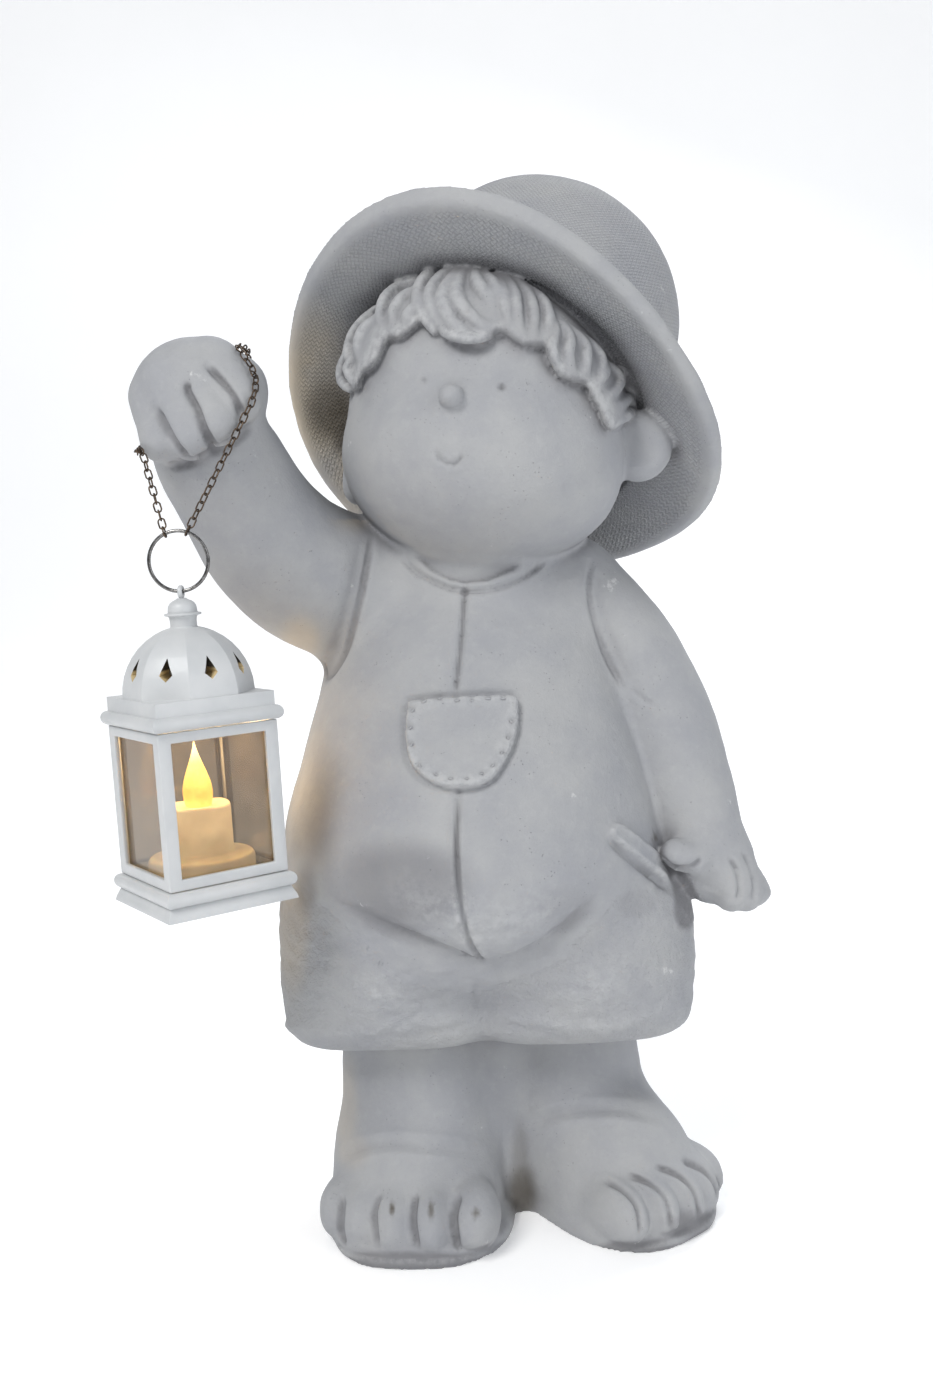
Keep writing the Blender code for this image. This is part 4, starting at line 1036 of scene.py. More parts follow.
def build_roof(surface):
    """The hollow cornice and eight-sided dome, with a kite-shaped vent in each side."""
    b, wall = HALF, FRAME_WALL
    neck = DOME_LOW + DOME_HEIGHT
    bm = bmesh.new()
    mid = ROOF_START + 0.48 * CORNICE_HEIGHT
    stack(bm, roll(1.0 * b, ROOF_START, mid, 0.09 * b) + [(0.99 * b, mid), (0.99 * b, DOME_LOW)], 4)
    obj = add_piece("roof_shell", mesh_of("roof_shell", bm), surface)
    arc = [math.radians(a) for a in (0, 9, 18, 27, 36, 45, 54, 63, 70, 75)]
    bm = bmesh.new()
    stack(bm, [(DOME_HALF, DOME_LOW - 0.0005)]
          + [(DOME_HALF * math.cos(a), DOME_LOW + DOME_HEIGHT * math.sin(a)) for a in arc] + [(0.1 * b, neck)], 8)
    combine(obj, tool("dome", bm), "UNION")
    bm = bmesh.new()
    stack(bm, [(0.99 * b - wall, ROOF_START - 0.001), (0.99 * b - wall, DOME_LOW - wall)], 4)
    combine(obj, tool("cornice_hollow", bm), "DIFFERENCE")
    bm = bmesh.new()
    thin, low = ROOF_WALL, DOME_LOW - wall - 0.0002
    stack(bm, [(DOME_HALF - thin, low)]
          + [((DOME_HALF - thin) * math.cos(a), DOME_LOW + (DOME_HEIGHT - 1.4 * thin) * math.sin(a)) for a in arc], 8)
    combine(obj, tool("dome_hollow", bm), "DIFFERENCE")
    soften(obj, 0.00030, 2, 24)
    bm = bmesh.new()
    for i in range(8):
        spin = Matrix.Rotation(i * math.pi / 4, 4, "Z")
        kite = [(0, 0.62), (-0.48, -0.10), (0, -0.38), (0.48, -0.10)]
        middle = DOME_LOW + 0.38 * DOME_HEIGHT
        near, far = ([bm.verts.new(spin @ Vector((x, u * KITE_WIDTH, middle + v * KITE_HEIGHT))) for u, v in kite]
                     for x in (0.5 * b, 1.3 * b))
        bm.faces.new(near)
        bm.faces.new(far)
        for j in range(4):
            bm.faces.new((near[j], near[j - 1], far[j - 1], far[j]))
    combine(obj, tool("kites", bm), "DIFFERENCE")
    round_off(obj, 30)
    # The roof's inner faces, which the white plastic paints with candle glow and shade.
    inside = obj.data.attributes.new("inside", "FLOAT", "FACE")
    for face in obj.data.polygons:
        out = face.center.x * face.normal.x + face.center.y * face.normal.y
        inside.data[face.index].value = float(out < -0.0005 or (face.normal.z < -0.3 and face.center.z > DOME_LOW))
    place_lantern(obj)
    return obj


def build_knob(surface):
    """The turned finial with the eye that hangs on the ring."""
    top = DOME_LOW + DOME_HEIGHT - 0.0012
    profile = [(0.0058, -0.0012), (0.0060, 0.0), (0.0058, 0.0005), (0.0054, 0.0009), (0.0054, 0.0030),
               (0.0056, 0.0044), (0.0060, 0.0052), (0.0073, 0.0054), (0.0075, 0.0056), (0.0075, 0.0061),
               (0.0073, 0.0063), (0.0060, 0.0065), (0.0059, 0.0080), (0.0056, 0.0094), (0.0049, 0.0105),
               (0.0038, 0.0113), (0.0026, 0.0118), (0.0018, 0.0124)]
    bm = bmesh.new()
    stack(bm, [(r, top + z) for r, z in profile], 40)
    obj = add_piece("finial", mesh_of("finial", bm), surface)
    across = Matrix.Rotation(-LANTERN_TURN, 4, "Z") @ Matrix.Rotation(math.pi / 2, 4, "Y")
    eye_place = Matrix.Translation((0, 0, EYE_MIDDLE)) @ across
    rim = EYE_HOLE / 2 + 0.0014
    bm = bmesh.new()
    stack(bm, [(rim - 0.0004, -0.0009), (rim, -0.0005), (rim, 0.0005), (rim - 0.0004, 0.0009)], 32, eye_place)
    combine(obj, tool("eye", bm), "UNION")
    bm = bmesh.new()
    stack(bm, [(EYE_HOLE / 2, -0.004), (EYE_HOLE / 2, 0.004)], 32, eye_place)
    combine(obj, tool("eye_hole", bm), "DIFFERENCE")
    round_off(obj, 38)
    place_lantern(obj)
    return obj


def build_panes(surface):
    """Four thin panes, slid in behind the posts."""
    inner, half = HALF - FRAME_WALL, HALF - POST_WIDTH
    reach = inner - GAP - PANE_THICKNESS
    wide = min(half + 0.001, reach - GAP)
    tall = BODY_TOP - BODY_LOW - BOTTOM_RAIL - TOP_RAIL
    made = []
    for i in range(4):
        bm = bmesh.new()
        box(bm, (reach, -wide, 0), (reach + PANE_THICKNESS, wide, tall + 0.002))
        bm.transform(Matrix.Rotation(i * math.pi / 2, 4, "Z"))
        obj = add_piece(f"smoked_pane_{i + 1}", mesh_of(f"smoked_pane_{i + 1}", bm), surface)
        soften(obj, 0.00018, 1)
        obj.data.shade_flat()
        place_lantern(obj, BODY_LOW + BOTTOM_RAIL - 0.001)
        made.append(obj)
    return made


def build_candle(surface):
    """Foot disc and cylinder in one, with a worn, slightly uneven top."""
    r, f, tall = CANDLE_RADIUS, CANDLE_FOOT_RADIUS, CANDLE_HIGH.z - CANDLE_LOW.z
    profile = [(f - 0.0008, 0), (f - 0.0002, 0.0003), (f, 0.0008), (f, 0.0060), (f - 0.0004, 0.0070),
               (f - 0.0012, 0.0078), (r + 0.0024, 0.0082), (r + 0.0008, 0.0087), (r, 0.0097), (r, tall - 0.0012),
               (r - 0.0004, tall - 0.0004), (r - 0.0010, tall), (r - 0.0020, tall - 0.0001),
               (r - 0.0032, tall - 0.0009), (r - 0.0050, tall - 0.0015), (0.0, tall - 0.0018)]
    bm = bmesh.new()
    stack(bm, profile, 48)
    for v in bm.verts:
        if v.co.z > tall - 0.004:
            a = math.atan2(v.co.y, v.co.x)
            v.co.z += 0.0004 * math.sin(3 * a + 1) - 0.0003
    obj = add_piece("wax_candle", mesh_of("wax_candle", bm), surface)
    round_off(obj, 50)
    place_lantern(obj, CANDLE_LOW.z - LANTERN_FOOT.z)
    return obj


def build_flame(surface):
    w, h = (FLAME_HIGH.x - FLAME_LOW.x) / 2, FLAME_HIGH.z - FLAME_LOW.z
    rows = smooth_line([(0.84 * w, 0), (0.95 * w, 0.10 * h), (0.99 * w, 0.22 * h), (0.90 * w, 0.37 * h),
                        (0.66 * w, 0.54 * h), (0.38 * w, 0.71 * h), (0.16 * w, 0.87 * h), (0.03 * w, h)], 4)
    bm = bmesh.new()
    stack(bm, [(max(r, 0.0001), z) for r, z in rows], 32)
    obj = add_piece("flame_cap", mesh_of("flame_cap", bm), surface)
    round_off(obj, 60)
    place_lantern(obj, FLAME_LOW.z - LANTERN_FOOT.z)
    return obj


RING_CENTRE = (RING_LOW + RING_HIGH) / 2


def build_ring(surface):
    minor = RING_WIRE / 2
    bm = bmesh.new()
    around, across = 96, 12
    rings = []
    for i in range(around):
        a = 2 * math.pi * i / around
        out = Vector((math.cos(a), 0, math.sin(a)))
        turns = [2 * math.pi * k / across for k in range(across)]
        rings.append([bm.verts.new(RING_CENTRE + out * (RING_RADIUS + minor * math.cos(t))
                                   + Vector((0, minor * math.sin(t), 0))) for t in turns])
    tube(bm, rings)
    obj = add_piece("steel_ring", mesh_of("steel_ring", bm), surface)
    obj.data.shade_smooth()
    return obj


# Chain

CHAIN_LEANS = tuple(math.radians(lean) for lean in (112, 68))  # where its two ends sit on the ring


def search_tree(skin):
    return BVHTree.FromPolygons([v.co for v in skin.data.vertices], [p.vertices for p in skin.data.polygons])


def chain_line(tree):
    """The chain's way round the fist, pulled tight against the carved skin."""
    clearance = LINK_WIDTH / 2 + GAP + 0.0001
    seat = (LINK_PITCH + LINK_WIRE) / 2 - LINK_WIRE / 2 - RING_WIRE / 2 - GAP - 0.0001
    ends = [RING_CENTRE + Vector((math.cos(a), 0, math.sin(a))) * (RING_RADIUS + seat) for a in CHAIN_LEANS]
    eye, laid = Vector(CAMERA_SPOT), []
    for x, y in [CHAIN_LEFT] + CHAIN_SEEN:
        spot, normal, _, _ = tree.ray_cast(eye, Vector([float(v) for v in sight(x, y)[1]]))
        laid.append(spot + normal * clearance)
    behind = []
    for place in CHAIN_WAY[-2:]:
        spot, normal, _, _ = tree.find_nearest(Vector(place) * UNIT)
        behind.append(spot + normal * clearance)
    way = [ends[0], laid[0]] + [Vector(p) * UNIT for p in CHAIN_WAY[:-2]] + behind + laid[1:] + [ends[1]]
    pinned = {8} | {8 * (len(CHAIN_WAY) + i) for i in range(len(behind) + len(laid) - 1)}
    way = [Vector(p) for p in smooth_line([tuple(p) for p in way], 8)]
    for _ in range(400):
        for i in range(1, len(way) - 1):
            if i in pinned:
                continue
            p = way[i].lerp((way[i - 1] + way[i + 1]) / 2, 0.8)
            spot, normal, _, _ = tree.find_nearest(p)
            if (p - spot).dot(normal) < clearance:
                p = spot + normal * clearance
            way[i] = p
    return way


def link_shape():
    """One oval link, lying along X."""
    around, across = 14, 6
    half_length = (LINK_PITCH + LINK_WIRE) / 2 + 0.00005
    half_width = LINK_WIDTH / 2 - LINK_WIRE / 2
    straight = half_length - half_width
    centres = []
    for i in range(around):
        a = 2 * math.pi * (i + 0.5) / around
        x = half_width * math.cos(a) + math.copysign(straight, math.cos(a))
        centres.append(Vector((x, half_width * math.sin(a), 0)))
    bm = bmesh.new()
    up, rings = Vector((0, 0, 1)), []
    for i, p in enumerate(centres):
        out = (centres[(i + 1) % around] - centres[i - 1]).normalized().cross(up)
        turns = [2 * math.pi * k / across for k in range(across)]
        rings.append([bm.verts.new(p + LINK_WIRE / 2 * (out * math.cos(t) + up * math.sin(t))) for t in turns])
    tube(bm, rings)
    obj = tool("link_shape", bm)
    obj.data.shade_smooth()
    return obj


def add_inputs(tree, rows):
    for name, kind, value in rows:
        made = tree.interface.new_socket(name, in_out="INPUT", socket_type=kind)
        if value is not None:
            made.default_value = value


def copies_tree():
    """Copies of one shape on every point of a mesh, turned by the points' own turn, with one material."""
    tree = bpy.data.node_groups.new("copies_on_points", "GeometryNodeTree")
    add_inputs(tree, [("Geometry", "NodeSocketGeometry", None), ("Shape", "NodeSocketObject", None),
                      ("Surface", "NodeSocketMaterial", None), ("Size change", "NodeSocketFloat", 0.0),
                      ("Seed", "NodeSocketInt", COPY_SEED)])
    tree.interface.new_socket("Geometry", in_out="OUTPUT", socket_type="NodeSocketGeometry")
    nodes, links = tree.nodes, tree.links
    start, end = nodes.new("NodeGroupInput"), nodes.new("NodeGroupOutput")
    shape = nodes.new("GeometryNodeObjectInfo")
    way = nodes.new("GeometryNodeInputNamedAttribute")
    way.data_type = "FLOAT_VECTOR"
    way.inputs["Name"].default_value = "turn"
    change = nodes.new("FunctionNodeRandomValue")
    less, more = nodes.new("ShaderNodeMath"), nodes.new("ShaderNodeMath")
    less.operation, more.operation = "SUBTRACT", "ADD"
    less.inputs[0].default_value = more.inputs[0].default_value = 1.0
    put = nodes.new("GeometryNodeInstanceOnPoints")
    real = nodes.new("GeometryNodeRealizeInstances")
    coat = nodes.new("GeometryNodeSetMaterial")
    for a, out, b, into in ((start, "Size change", less, 1), (start, "Size change", more, 1), (less, 0, change, 2),
                            (more, 0, change, 3), (start, "Seed", change, "Seed"), (start, "Geometry", put, "Points"),
                            (start, "Shape", shape, "Object"), (shape, "Geometry", put, "Instance"),
                            (way, "Attribute", put, "Rotation"), (change, 1, put, "Scale"),
                            (put, "Instances", real, "Geometry"), (real, "Geometry", coat, "Geometry"),
                            (start, "Surface", coat, "Material"), (coat, "Geometry", end, "Geometry")):
        links.new(a.outputs[out], b.inputs[into])
    return tree


def copies(name, tree, spots, turns, shape, surface, change=0.0):
    """A plain mesh of copies of the shape on the spots, made by the tree. The shape itself is thrown away."""
    mesh = bpy.data.meshes.new(name)
    mesh.from_pydata([tuple(s) for s in spots], [], [])
    mesh.attributes.new("turn", "FLOAT_VECTOR", "POINT").data.foreach_set("vector", [c for t in turns for c in t])
    obj = add_piece(name, mesh, None)
    maker = obj.modifiers.new("copies", "NODES")
    maker.node_group = tree
    values = {"Shape": shape, "Surface": surface, "Size change": change, "Seed": COPY_SEED}
    for item in tree.interface.items_tree:
        if item.in_out == "INPUT" and item.name in values:
            maker[item.identifier] = values[item.name]
    bpy.context.view_layer.update()
    settled(obj).update()
    obj.data.shade_smooth()
    discard(shape)
    return obj


def build_chain(skin, tree, surface):
    """Links end to end along the chain's way, each a quarter turn from the last."""
    way = chain_line(search_tree(skin))
    lengths = [0.0]
    for a, b in zip(way, way[1:]):
        lengths.append(lengths[-1] + (b - a).length)
    spans = round(lengths[-1] / LINK_PITCH)
    spans += spans % 2
    pitch = lengths[-1] / spans
    spots = []
    for i in range(spans + 1):
        s = min(i * pitch, lengths[-1] - 1e-9)
        k = next(j for j in range(len(way) - 1) if lengths[j + 1] > s)
        spots.append(way[k].lerp(way[k + 1], (s - lengths[k]) / (lengths[k + 1] - lengths[k])))
    first, last = (Vector((-math.sin(a), 0, math.cos(a))) for a in CHAIN_LEANS)
    frames, normal = [], first
    for i, spot in enumerate(spots):
        along = (spots[min(i + 1, spans)] - spots[max(i - 1, 0)]).normalized()
        normal = (normal - along * normal.dot(along)).normalized()
        frames.append((along, normal))
    along, normal = frames[-1]
    goal = (last - along * last.dot(along)).normalized()
    short = math.atan2(normal.cross(goal).dot(along), normal.dot(goal))
    short = (short + math.pi / 2) % math.pi - math.pi / 2
    turns = []
    for i, (along, normal) in enumerate(frames):
        ease = min(1, i / 6, (spans - i) / 6)
        angle = short * i / spans + math.pi / 2 * (i % 2) + math.radians(42) * ease
        flat = Matrix.Rotation(angle, 3, along) @ normal
        turns.append(Matrix((along, flat.cross(along), flat)).transposed().to_euler())
    return copies("fist_chain", tree, spots, turns, link_shape(), surface)


def build_stitches(skin, tree, surface):
    """Short raised stitches in the holes round the inside of the pocket's edge."""
    body = search_tree(skin)
    middle = np.mean(POCKET, 0)
    spots, turns = [], []
    for x, y in STITCHES:
        eye, way = sight(x, y)
        hit, normal, _, _ = body.ray_cast(Vector(eye) * UNIT, Vector(way))
        out = np.array((x, y)) - middle
        lean = np.array((-out[1], out[0])) if y > 706 else np.array((1.0, 0.0))
        lean /= np.hypot(*lean)
        along = Vector(VIEW_RIGHT * lean[0] - VIEW_ABOVE * lean[1])
        along = (along - normal * along.dot(normal)).normalized()
        turns.append(Matrix((along, normal.cross(along), normal)).transposed().to_euler())
        spots.append(hit + normal * 0.0002)
    bm = bmesh.new()
    bmesh.ops.create_icosphere(bm, subdivisions=2, radius=1)
    for v in bm.verts:
        v.co = Vector((v.co.x * 0.0013, v.co.y * 0.00050, v.co.z * 0.00045))
    return copies("pocket_stitches", tree, spots, turns, tool("stitch_shape", bm), surface, 0.15)


# Shaders

class Shader:
    """A material's or group's node tree, written as a chain of small steps."""

    def __init__(self, tree):
        self.tree, self.nodes, self.links = tree, tree.nodes, tree.links

    def node(self, kind, **settings):
        made = self.nodes.new(kind)
        for name, value in settings.items():
            setattr(made, name, value)
        return made

    def put(self, socket, value):
        if isinstance(value, bpy.types.NodeSocket):
            self.links.new(value, socket)
        elif value is not None:
            socket.default_value = value

    def fill(self, node, values):
        for key, value in values.items():
            self.put(node.inputs[key], value)

    def made(self, kind, out, values, **settings):
        """One node with its inputs filled, as the output of the given name or number."""
        node = self.node(kind, **settings)
        self.fill(node, values)
        return node.outputs[out]

    def maths(self, operation, a, b=None):
        return self.made("ShaderNodeMath", 0, {0: a, 1: b}, operation=operation)

    def times(self, a, b):
        return self.maths("MULTIPLY", a, b)

    def plus(self, a, b):
        return self.maths("ADD", a, b)

    def range(self, value, low, high, to_low=0.0, to_high=1.0):
        return self.made("ShaderNodeMapRange", "Result", {"Value": value, "From Min": low, "From Max": high,
                         "To Min": to_low, "To Max": to_high}, interpolation_type="SMOOTHSTEP")

    def mix(self, share, a, b):
        return self.made("ShaderNodeMix", 2, {0: share, 6: a, 7: b}, data_type="RGBA")

    def noise(self, place, scale, detail=4.0, rough=0.55):
        return self.made("ShaderNodeTexNoise", "Fac",
                         {"Vector": place, "Scale": scale, "Detail": detail, "Roughness": rough})

    def cells(self, place, scale):
        return self.made("ShaderNodeTexVoronoi", "Distance", {"Vector": place, "Scale": scale})

    def bump(self, height, strength, distance, normal=None):
        return self.made("ShaderNodeBump", "Normal",
                         {"Height": height, "Strength": strength, "Distance": distance, "Normal": normal})

    def split(self, place):
        node = self.node("ShaderNodeSeparateXYZ")
        self.put(node.inputs[0], place)
        return node.outputs

    def place(self):
        return self.node("ShaderNodeTexCoord").outputs["Object"]

    def mask(self, name):
        return self.node("ShaderNodeAttribute", attribute_name=name).outputs["Fac"]

    def group(self, tree, inputs):
        made = self.node("ShaderNodeGroup", node_tree=tree)
        self.fill(made, inputs)
        return made.outputs


def new_group(name, inputs, outputs):
    tree = bpy.data.node_groups.new(name, "ShaderNodeTree")
    add_inputs(tree, inputs)
    for title, kind in outputs:
        tree.interface.new_socket(title, in_out="OUTPUT", socket_type=kind)
    shader = Shader(tree)
    return shader, shader.node("NodeGroupInput").outputs, shader.node("NodeGroupOutput").inputs


def new_material(name):
    made = bpy.data.materials.new(name)
    made.use_nodes = True
    shader = Shader(made.node_tree)
    surface = shader.nodes["Principled BSDF"]
    return made, shader, surface


def speckle_group():
    """Fine grain, small pits and pale scuffs, shared by the cast and moulded surfaces."""
    s, inputs, outputs = new_group("grain_and_scuffs", [
        ("Place", "NodeSocketVector", None), ("Grain size", "NodeSocketFloat", 900.0),
        ("Scuff size", "NodeSocketFloat", 60.0)],
        [("Grain", "NodeSocketFloat"), ("Pits", "NodeSocketFloat"), ("Scuffs", "NodeSocketFloat")])
    grain = s.noise(inputs["Place"], inputs["Grain size"], 3.0, 0.6)
    pits = s.cells(inputs["Place"], s.times(inputs["Grain size"], 0.62))
    few = s.noise(inputs["Place"], s.times(inputs["Grain size"], 0.11), 2.0)
    pits = s.times(s.range(pits, 0.16, 0.05), s.range(few, 0.50, 0.66))
    scuffs = s.noise(inputs["Place"], inputs["Scuff size"], 8.0, 0.72)
    s.links.new(grain, outputs["Grain"])
    s.links.new(pits, outputs["Pits"])
    s.links.new(s.range(scuffs, 0.655, 0.72), outputs["Scuffs"])
    return s.tree


def weave_group():
    """A plaited straw weave over a flat way of distances, slanting like the brim's."""
    s, inputs, outputs = new_group("straw_weave", [("Way", "NodeSocketVector", None), ("Step", "NodeSocketFloat", 3.4)],
                                   [("Height", "NodeSocketFloat")])
    x, y, _ = s.split(inputs["Way"])
    a = s.maths("DIVIDE", s.plus(x, s.times(y, 0.9)), inputs["Step"])
    b = s.maths("DIVIDE", s.maths("SUBTRACT", x, s.times(y, 0.9)), inputs["Step"])
    strand_a = s.maths("ABSOLUTE", s.maths("SINE", s.times(a, math.pi)))
    strand_b = s.maths("ABSOLUTE", s.maths("SINE", s.times(b, math.pi)))
    turn_over = s.times(s.maths("SINE", s.times(a, math.pi)),
                        s.maths("SINE", s.times(b, math.pi)))
    over = s.range(turn_over, -0.15, 0.15)
    s.links.new(s.plus(s.times(strand_a, over),
                        s.times(strand_b, s.maths("SUBTRACT", 1.0, over))), outputs["Height"])
    return s.tree


def stone_material(speckle, weave):
    """Cool grey cast stone: paler on worn edges, painted shade in hollows, creases and undersides, painted shade in the
    eyes, stains and a painted shadow, painted warm light from the lantern, woven hat, rough shorts.
    """
    made, s, surface = new_material("cast_stone")
    place = s.place()
    marks_of = {name: s.mask(name) for name in ("hollow", "edge", "hat", "shorts", "eyes", "stain", "warm")}
    speck = s.group(speckle, {"Place": place, "Grain size": 900.0, "Scuff size": 46.0})
    clouds = s.noise(place, 22.0, 5.0, 0.6)
    fine = s.noise(place, 240.0, 4.0, 0.65)
    colour = s.mix(s.range(clouds, 0.28, 0.74), (0.315, 0.322, 0.342, 1), (0.385, 0.388, 0.392, 1))
    colour = s.mix(s.times(s.range(fine, 0.48, 0.72), 0.14), colour, (0.480, 0.480, 0.480, 1))
    colour = s.mix(s.times(s.range(speck["Grain"], 0.55, 0.75), 0.12), colour, (0.220, 0.223, 0.232, 1))
    # Painted shade: darker in hollows, creases, undersides and the shaded spots of the table.
    colour = s.mix(s.times(s.range(marks_of["hollow"], 0.22, 0.95), 0.62), colour, (0.115, 0.112, 0.120, 1))
    worn = s.times(s.range(marks_of["edge"], 0.25, 0.9), s.range(fine, 0.30, 0.62))
    colour = s.mix(s.times(worn, 0.42), colour, (0.600, 0.605, 0.605, 1))
    colour = s.mix(s.times(speck["Scuffs"], 0.50), colour, (0.700, 0.700, 0.690, 1))
    colour = s.mix(s.times(speck["Pits"], 0.55), colour, (0.140, 0.140, 0.145, 1))
    patchy = s.range(clouds, 0.25, 0.62, 0.55, 1.0)
    # Painted warm light from the lantern, lighter and warmer.
    colour = s.mix(s.times(marks_of["warm"], s.times(patchy, 0.80)), colour, (0.560, 0.470, 0.345, 1))
    # Stains in dark brown, with the lantern's shadow on the torso painted the same way.
    colour = s.mix(s.times(marks_of["stain"], s.times(patchy, 0.88)), colour, (0.070, 0.056, 0.036, 1))
    # Painted shade in the eyes, near black.
    colour = s.mix(s.times(marks_of["eyes"], 0.93), colour, (0.030, 0.029, 0.030, 1))
    way = s.node("ShaderNodeAttribute", attribute_name="weave").outputs["Vector"]
    plait = s.group(weave, {"Way": way, "Step": 2.7})
    straw = s.times(s.range(plait["Height"], 0.75, 0.25), marks_of["hat"])
    colour = s.mix(s.times(straw, 0.22), colour, (0.215, 0.218, 0.225, 1))
    s.fill(surface, {
        "Base Color": colour, "Roughness": s.range(fine, 0.2, 0.8, 0.72, 0.92), "Specular IOR Level": 0.32})
    height = s.times(speck["Pits"], -0.55)
    height = s.plus(height, s.times(fine, 0.55))
    rough_cloth = s.noise(place, 330.0, 3.0, 0.7)
    height = s.plus(height, s.times(s.times(rough_cloth, marks_of["shorts"]), 1.9))
    height = s.plus(height, s.times(s.times(plait["Height"], marks_of["hat"]), 0.75))
    normal = s.bump(height, 0.75, 0.0009)
    normal = s.bump(speck["Grain"], 0.35, 0.0003, normal)
    s.put(surface.inputs["Normal"], normal)
    return made


def plastic_material(speckle):
    """Gloss white moulded plastic, slightly yellowed, with faint dust, and painted candle glow and shade on the roof's
    inner faces.
    """
    made, s, surface = new_material("white_plastic")
    place = s.place()
    speck = s.group(speckle, {"Place": place, "Grain size": 1500.0, "Scuff size": 210.0})
    tone = s.noise(place, 60.0, 3.0)
    colour = s.mix(s.range(tone, 0.3, 0.7), (0.525, 0.540, 0.550, 1), (0.575, 0.585, 0.590, 1))
    colour = s.mix(s.times(speck["Scuffs"], 0.22), colour, (0.360, 0.355, 0.340, 1))
    # Painted light and shade on the roof's inner faces: warm candle glow low down, near black above.
    dome_foot = LANTERN_FOOT.z + DOME_LOW
    unlit = s.range(s.split(place)[2], dome_foot + 0.385 * DOME_HEIGHT, dome_foot + 0.43 * DOME_HEIGHT)
    painted_glow_and_shade = s.mix(unlit, (0.700, 0.560, 0.320, 1), (0.030, 0.024, 0.018, 1))
    colour = s.mix(s.mask("inside"), colour, painted_glow_and_shade)
    s.fill(surface, {
        "Base Color": colour, "Roughness": s.range(speck["Grain"], 0.3, 0.7, 0.40, 0.52), "Coat Weight": 0.10,
        "Coat Roughness": 0.12, "Subsurface Weight": 0.05, "Subsurface Radius": (0.002, 0.002, 0.002),
        "Normal": s.bump(tone, 0.12, 0.0006)})
    return made


def pane_material():
    """Clear plastic pane with a brown smoked tint."""
    made, s, surface = new_material("smoked_pane")
    place = s.place()
    smear = s.noise(place, 90.0, 4.0)
    s.fill(surface, {
        "Base Color": s.mix(s.range(smear, 0.3, 0.7), (0.40, 0.345, 0.28, 1), (0.47, 0.41, 0.335, 1)),
        "Metallic": 0.0, "Transmission Weight": 0.92, "IOR": 1.46, "Roughness": s.range(smear, 0.2, 0.8, 0.0, 0.012)})
    return made


def candle_material():
    """Cream plastic wax that glows with painted light from the flame, brighter near it."""
    made, s, surface = new_material("candle")
    place = s.place()
    tone = s.noise(place, 130.0, 3.0)
    near = s.range(s.split(place)[2], CANDLE_LOW.z, CANDLE_HIGH.z)
    s.fill(surface, {
        "Base Color": s.mix(s.range(tone, 0.3, 0.7), (0.840, 0.730, 0.470, 1), (0.900, 0.800, 0.560, 1)),
        "Roughness": s.range(tone, 0.2, 0.8, 0.38, 0.50), "Subsurface Weight": 0.25,
        "Subsurface Radius": (0.006, 0.003, 0.0015),
        # Painted glow from the flame, stronger towards the top.
        "Emission Color": s.mix(near, (0.80, 0.62, 0.34, 1), (1.0, 0.78, 0.46, 1)),
        "Emission Strength": s.range(near, 0.0, 1.0, 0.62, 1.35)})
    return made


def flame_material():
    """A glowing plastic flame, amber low down and paler at the tip."""
    made, s, surface = new_material("flame")
    place = s.place()
    share = s.range(s.split(place)[2], FLAME_LOW.z, FLAME_HIGH.z)
    streak = s.noise(place, 320.0, 2.0)
    low_glow = s.mix(s.range(share, 0.05, 0.35), (1.0, 0.40, 0.05, 1), (1.0, 0.66, 0.12, 1))
    glow = s.mix(s.range(share, 0.70, 0.98), low_glow, (1.0, 0.86, 0.60, 1))
    s.fill(surface, {
        "Base Color": s.mix(s.range(streak, 0.3, 0.7), (0.95, 0.70, 0.30, 1), (1.0, 0.80, 0.42, 1)), "Roughness": 0.4,
        "Emission Color": glow, "Emission Strength": s.range(streak, 0.2, 0.8, 3.2, 3.9)})
    return made


def metal_material(name, dark, light, rough):
    """Bare or patinated metal with a slightly uneven colour and polish."""
    made, s, surface = new_material(name)
    place = s.place()
    patch = s.noise(place, 420.0, 4.0, 0.6)
    s.fill(surface, {
        "Base Color": s.mix(s.range(patch, 0.30, 0.70), (*dark, 1), (*light, 1)), "Metallic": 1.0,
        "Roughness": s.range(patch, 0.2, 0.8, rough, rough + 0.18), "Normal": s.bump(patch, 0.2, 0.0001)})
    return made


# Stage

def floor_material():
    made, s, surface = new_material("pale_floor")
    place = s.place()
    tone = s.noise(place, 3.0, 4.0)
    s.fill(surface, {
        "Base Color": s.mix(s.range(tone, 0.3, 0.7), (0.900, 0.902, 0.905, 1), (0.920, 0.921, 0.923, 1)),
        "Roughness": 0.75, "Emission Color": (1.0, 1.0, 1.0, 1), "Emission Strength": 0.22})
    return made


def build_stage():
    bm = bmesh.new()
    rows = []
    for i in range(25):
        t = i / 24
        if t < 0.55:
            y, z = -1.6 + t / 0.55 * 2.8, 0.0
        else:
            a = (t - 0.55) / 0.45 * math.pi / 2
            y, z = 1.2 + 0.9 * math.sin(a), 0.9 * (1 - math.cos(a))
        rows.append([bm.verts.new((x, y, z)) for x in (-2.6, 2.6)])
    top = [bm.verts.new((x, 2.1, 3.2)) for x in (-2.6, 2.6)]
    rows.append(top)
    for a, b in zip(rows, rows[1:]):
        bm.faces.new((a[0], a[1], b[1], b[0]))
    obj = add_piece("studio_floor", mesh_of("studio_floor", bm), floor_material())
    obj.data.shade_smooth()
    return obj


def area_light(name, spot, aim, size, power, colour):
    light = bpy.data.lights.new(name, "AREA")
    light.shape, light.size, light.energy, light.color = "DISK", size, power, colour
    obj = bpy.data.objects.new(name, light)
    bpy.context.scene.collection.objects.link(obj)
    obj.location = spot
    obj.rotation_euler = (Vector(aim) - Vector(spot)).to_track_quat("-Z", "Y").to_euler()
    return obj


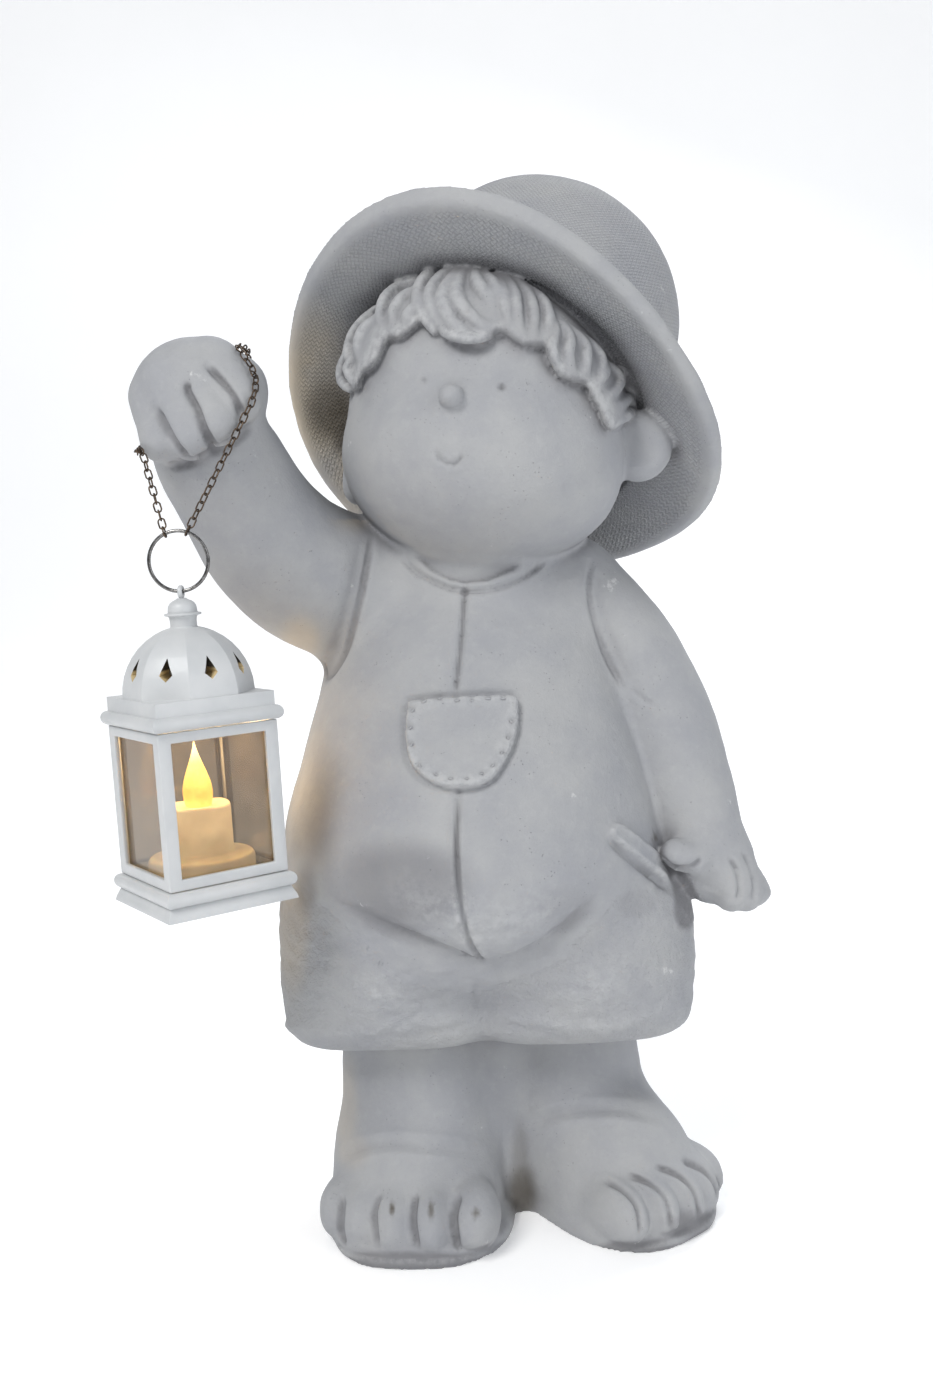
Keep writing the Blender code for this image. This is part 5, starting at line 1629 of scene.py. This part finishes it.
def build_lights():
    area_light("key_light", (-0.75, -1.35, 1.75), (0, 0, 0.28), 0.9, 29, (1.0, 0.99, 0.97))
    area_light("fill_light", (1.5, -1.1, 0.9), (0, 0, 0.25), 1.4, 10, (0.95, 0.97, 1.0))
    area_light("back_light", (0.6, 1.2, 1.7), (0, 0, 0.3), 1.0, 18, (0.96, 0.98, 1.0))
    flame = (FLAME_LOW + FLAME_HIGH) / 2
    for name, step, energy in (("candle_glow", (0, 0, 0.022), 0.20), ("side_glow", (0.004, 0.046, -0.006), 0.055)):
        glow = bpy.data.lights.new(name, "POINT")
        glow.energy, glow.color, glow.shadow_soft_size = energy, (1.0, 0.74, 0.44), 0.006
        obj = bpy.data.objects.new(name, glow)
        bpy.context.scene.collection.objects.link(obj)
        obj.location = flame + Vector(step)
        obj.visible_camera = obj.visible_glossy = obj.visible_transmission = False
    world = bpy.data.worlds.new("studio")
    world.use_nodes = True
    background = world.node_tree.nodes["Background"]
    background.inputs["Color"].default_value = (0.80, 0.83, 0.88, 1)
    background.inputs["Strength"].default_value = 0.44
    bpy.context.scene.world = world
    bpy.context.scene.view_settings.view_transform = "Standard"


def build_camera():
    camera = bpy.data.cameras.new("camera")
    camera.lens, camera.sensor_fit, camera.sensor_height = CAMERA_LENS, "VERTICAL", SENSOR_HEIGHT
    camera.clip_start = 0.01
    camera.dof.use_dof = False
    obj = bpy.data.objects.new("camera", camera)
    bpy.context.scene.collection.objects.link(obj)
    right, above, ahead = camera_axes()
    obj.matrix_world = Matrix.Translation(CAMERA_SPOT) @ Matrix((right, above, -ahead)).transposed().to_4x4()
    bpy.context.scene.camera = obj


def dress(piece, node):
    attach(piece, "root")
    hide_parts(node)


def main():
    speckle, weave = speckle_group(), weave_group()
    stone = stone_material(speckle, weave)
    white = plastic_material(speckle)
    smoked = pane_material()
    steel = metal_material("ring_steel", (0.11, 0.105, 0.10), (0.30, 0.295, 0.29), 0.16)
    bronze = metal_material("dark_bronze", (0.055, 0.040, 0.030), (0.150, 0.110, 0.080), 0.34)
    skin = build_statue(stone)
    tree = copies_tree()
    stitches = build_stitches(skin, tree, stone)
    dress(skin, "figure")
    dress(stitches, "figure")
    dress(build_chain(skin, tree, bronze), "chain")
    dress(build_base(white), "lantern_base")
    dress(build_frame(white), "lantern_frame")
    dress(build_roof(white), "lantern_roof")
    dress(build_knob(white), "lantern_roof")
    for i, pane in enumerate(build_panes(smoked)):
        dress(pane, f"pane_{i + 1}")
    dress(build_candle(candle_material()), "candle")
    dress(build_flame(flame_material()), "flame")
    dress(build_ring(steel), "hanging_ring")
    build_stage()
    build_lights()
    build_camera()


main()
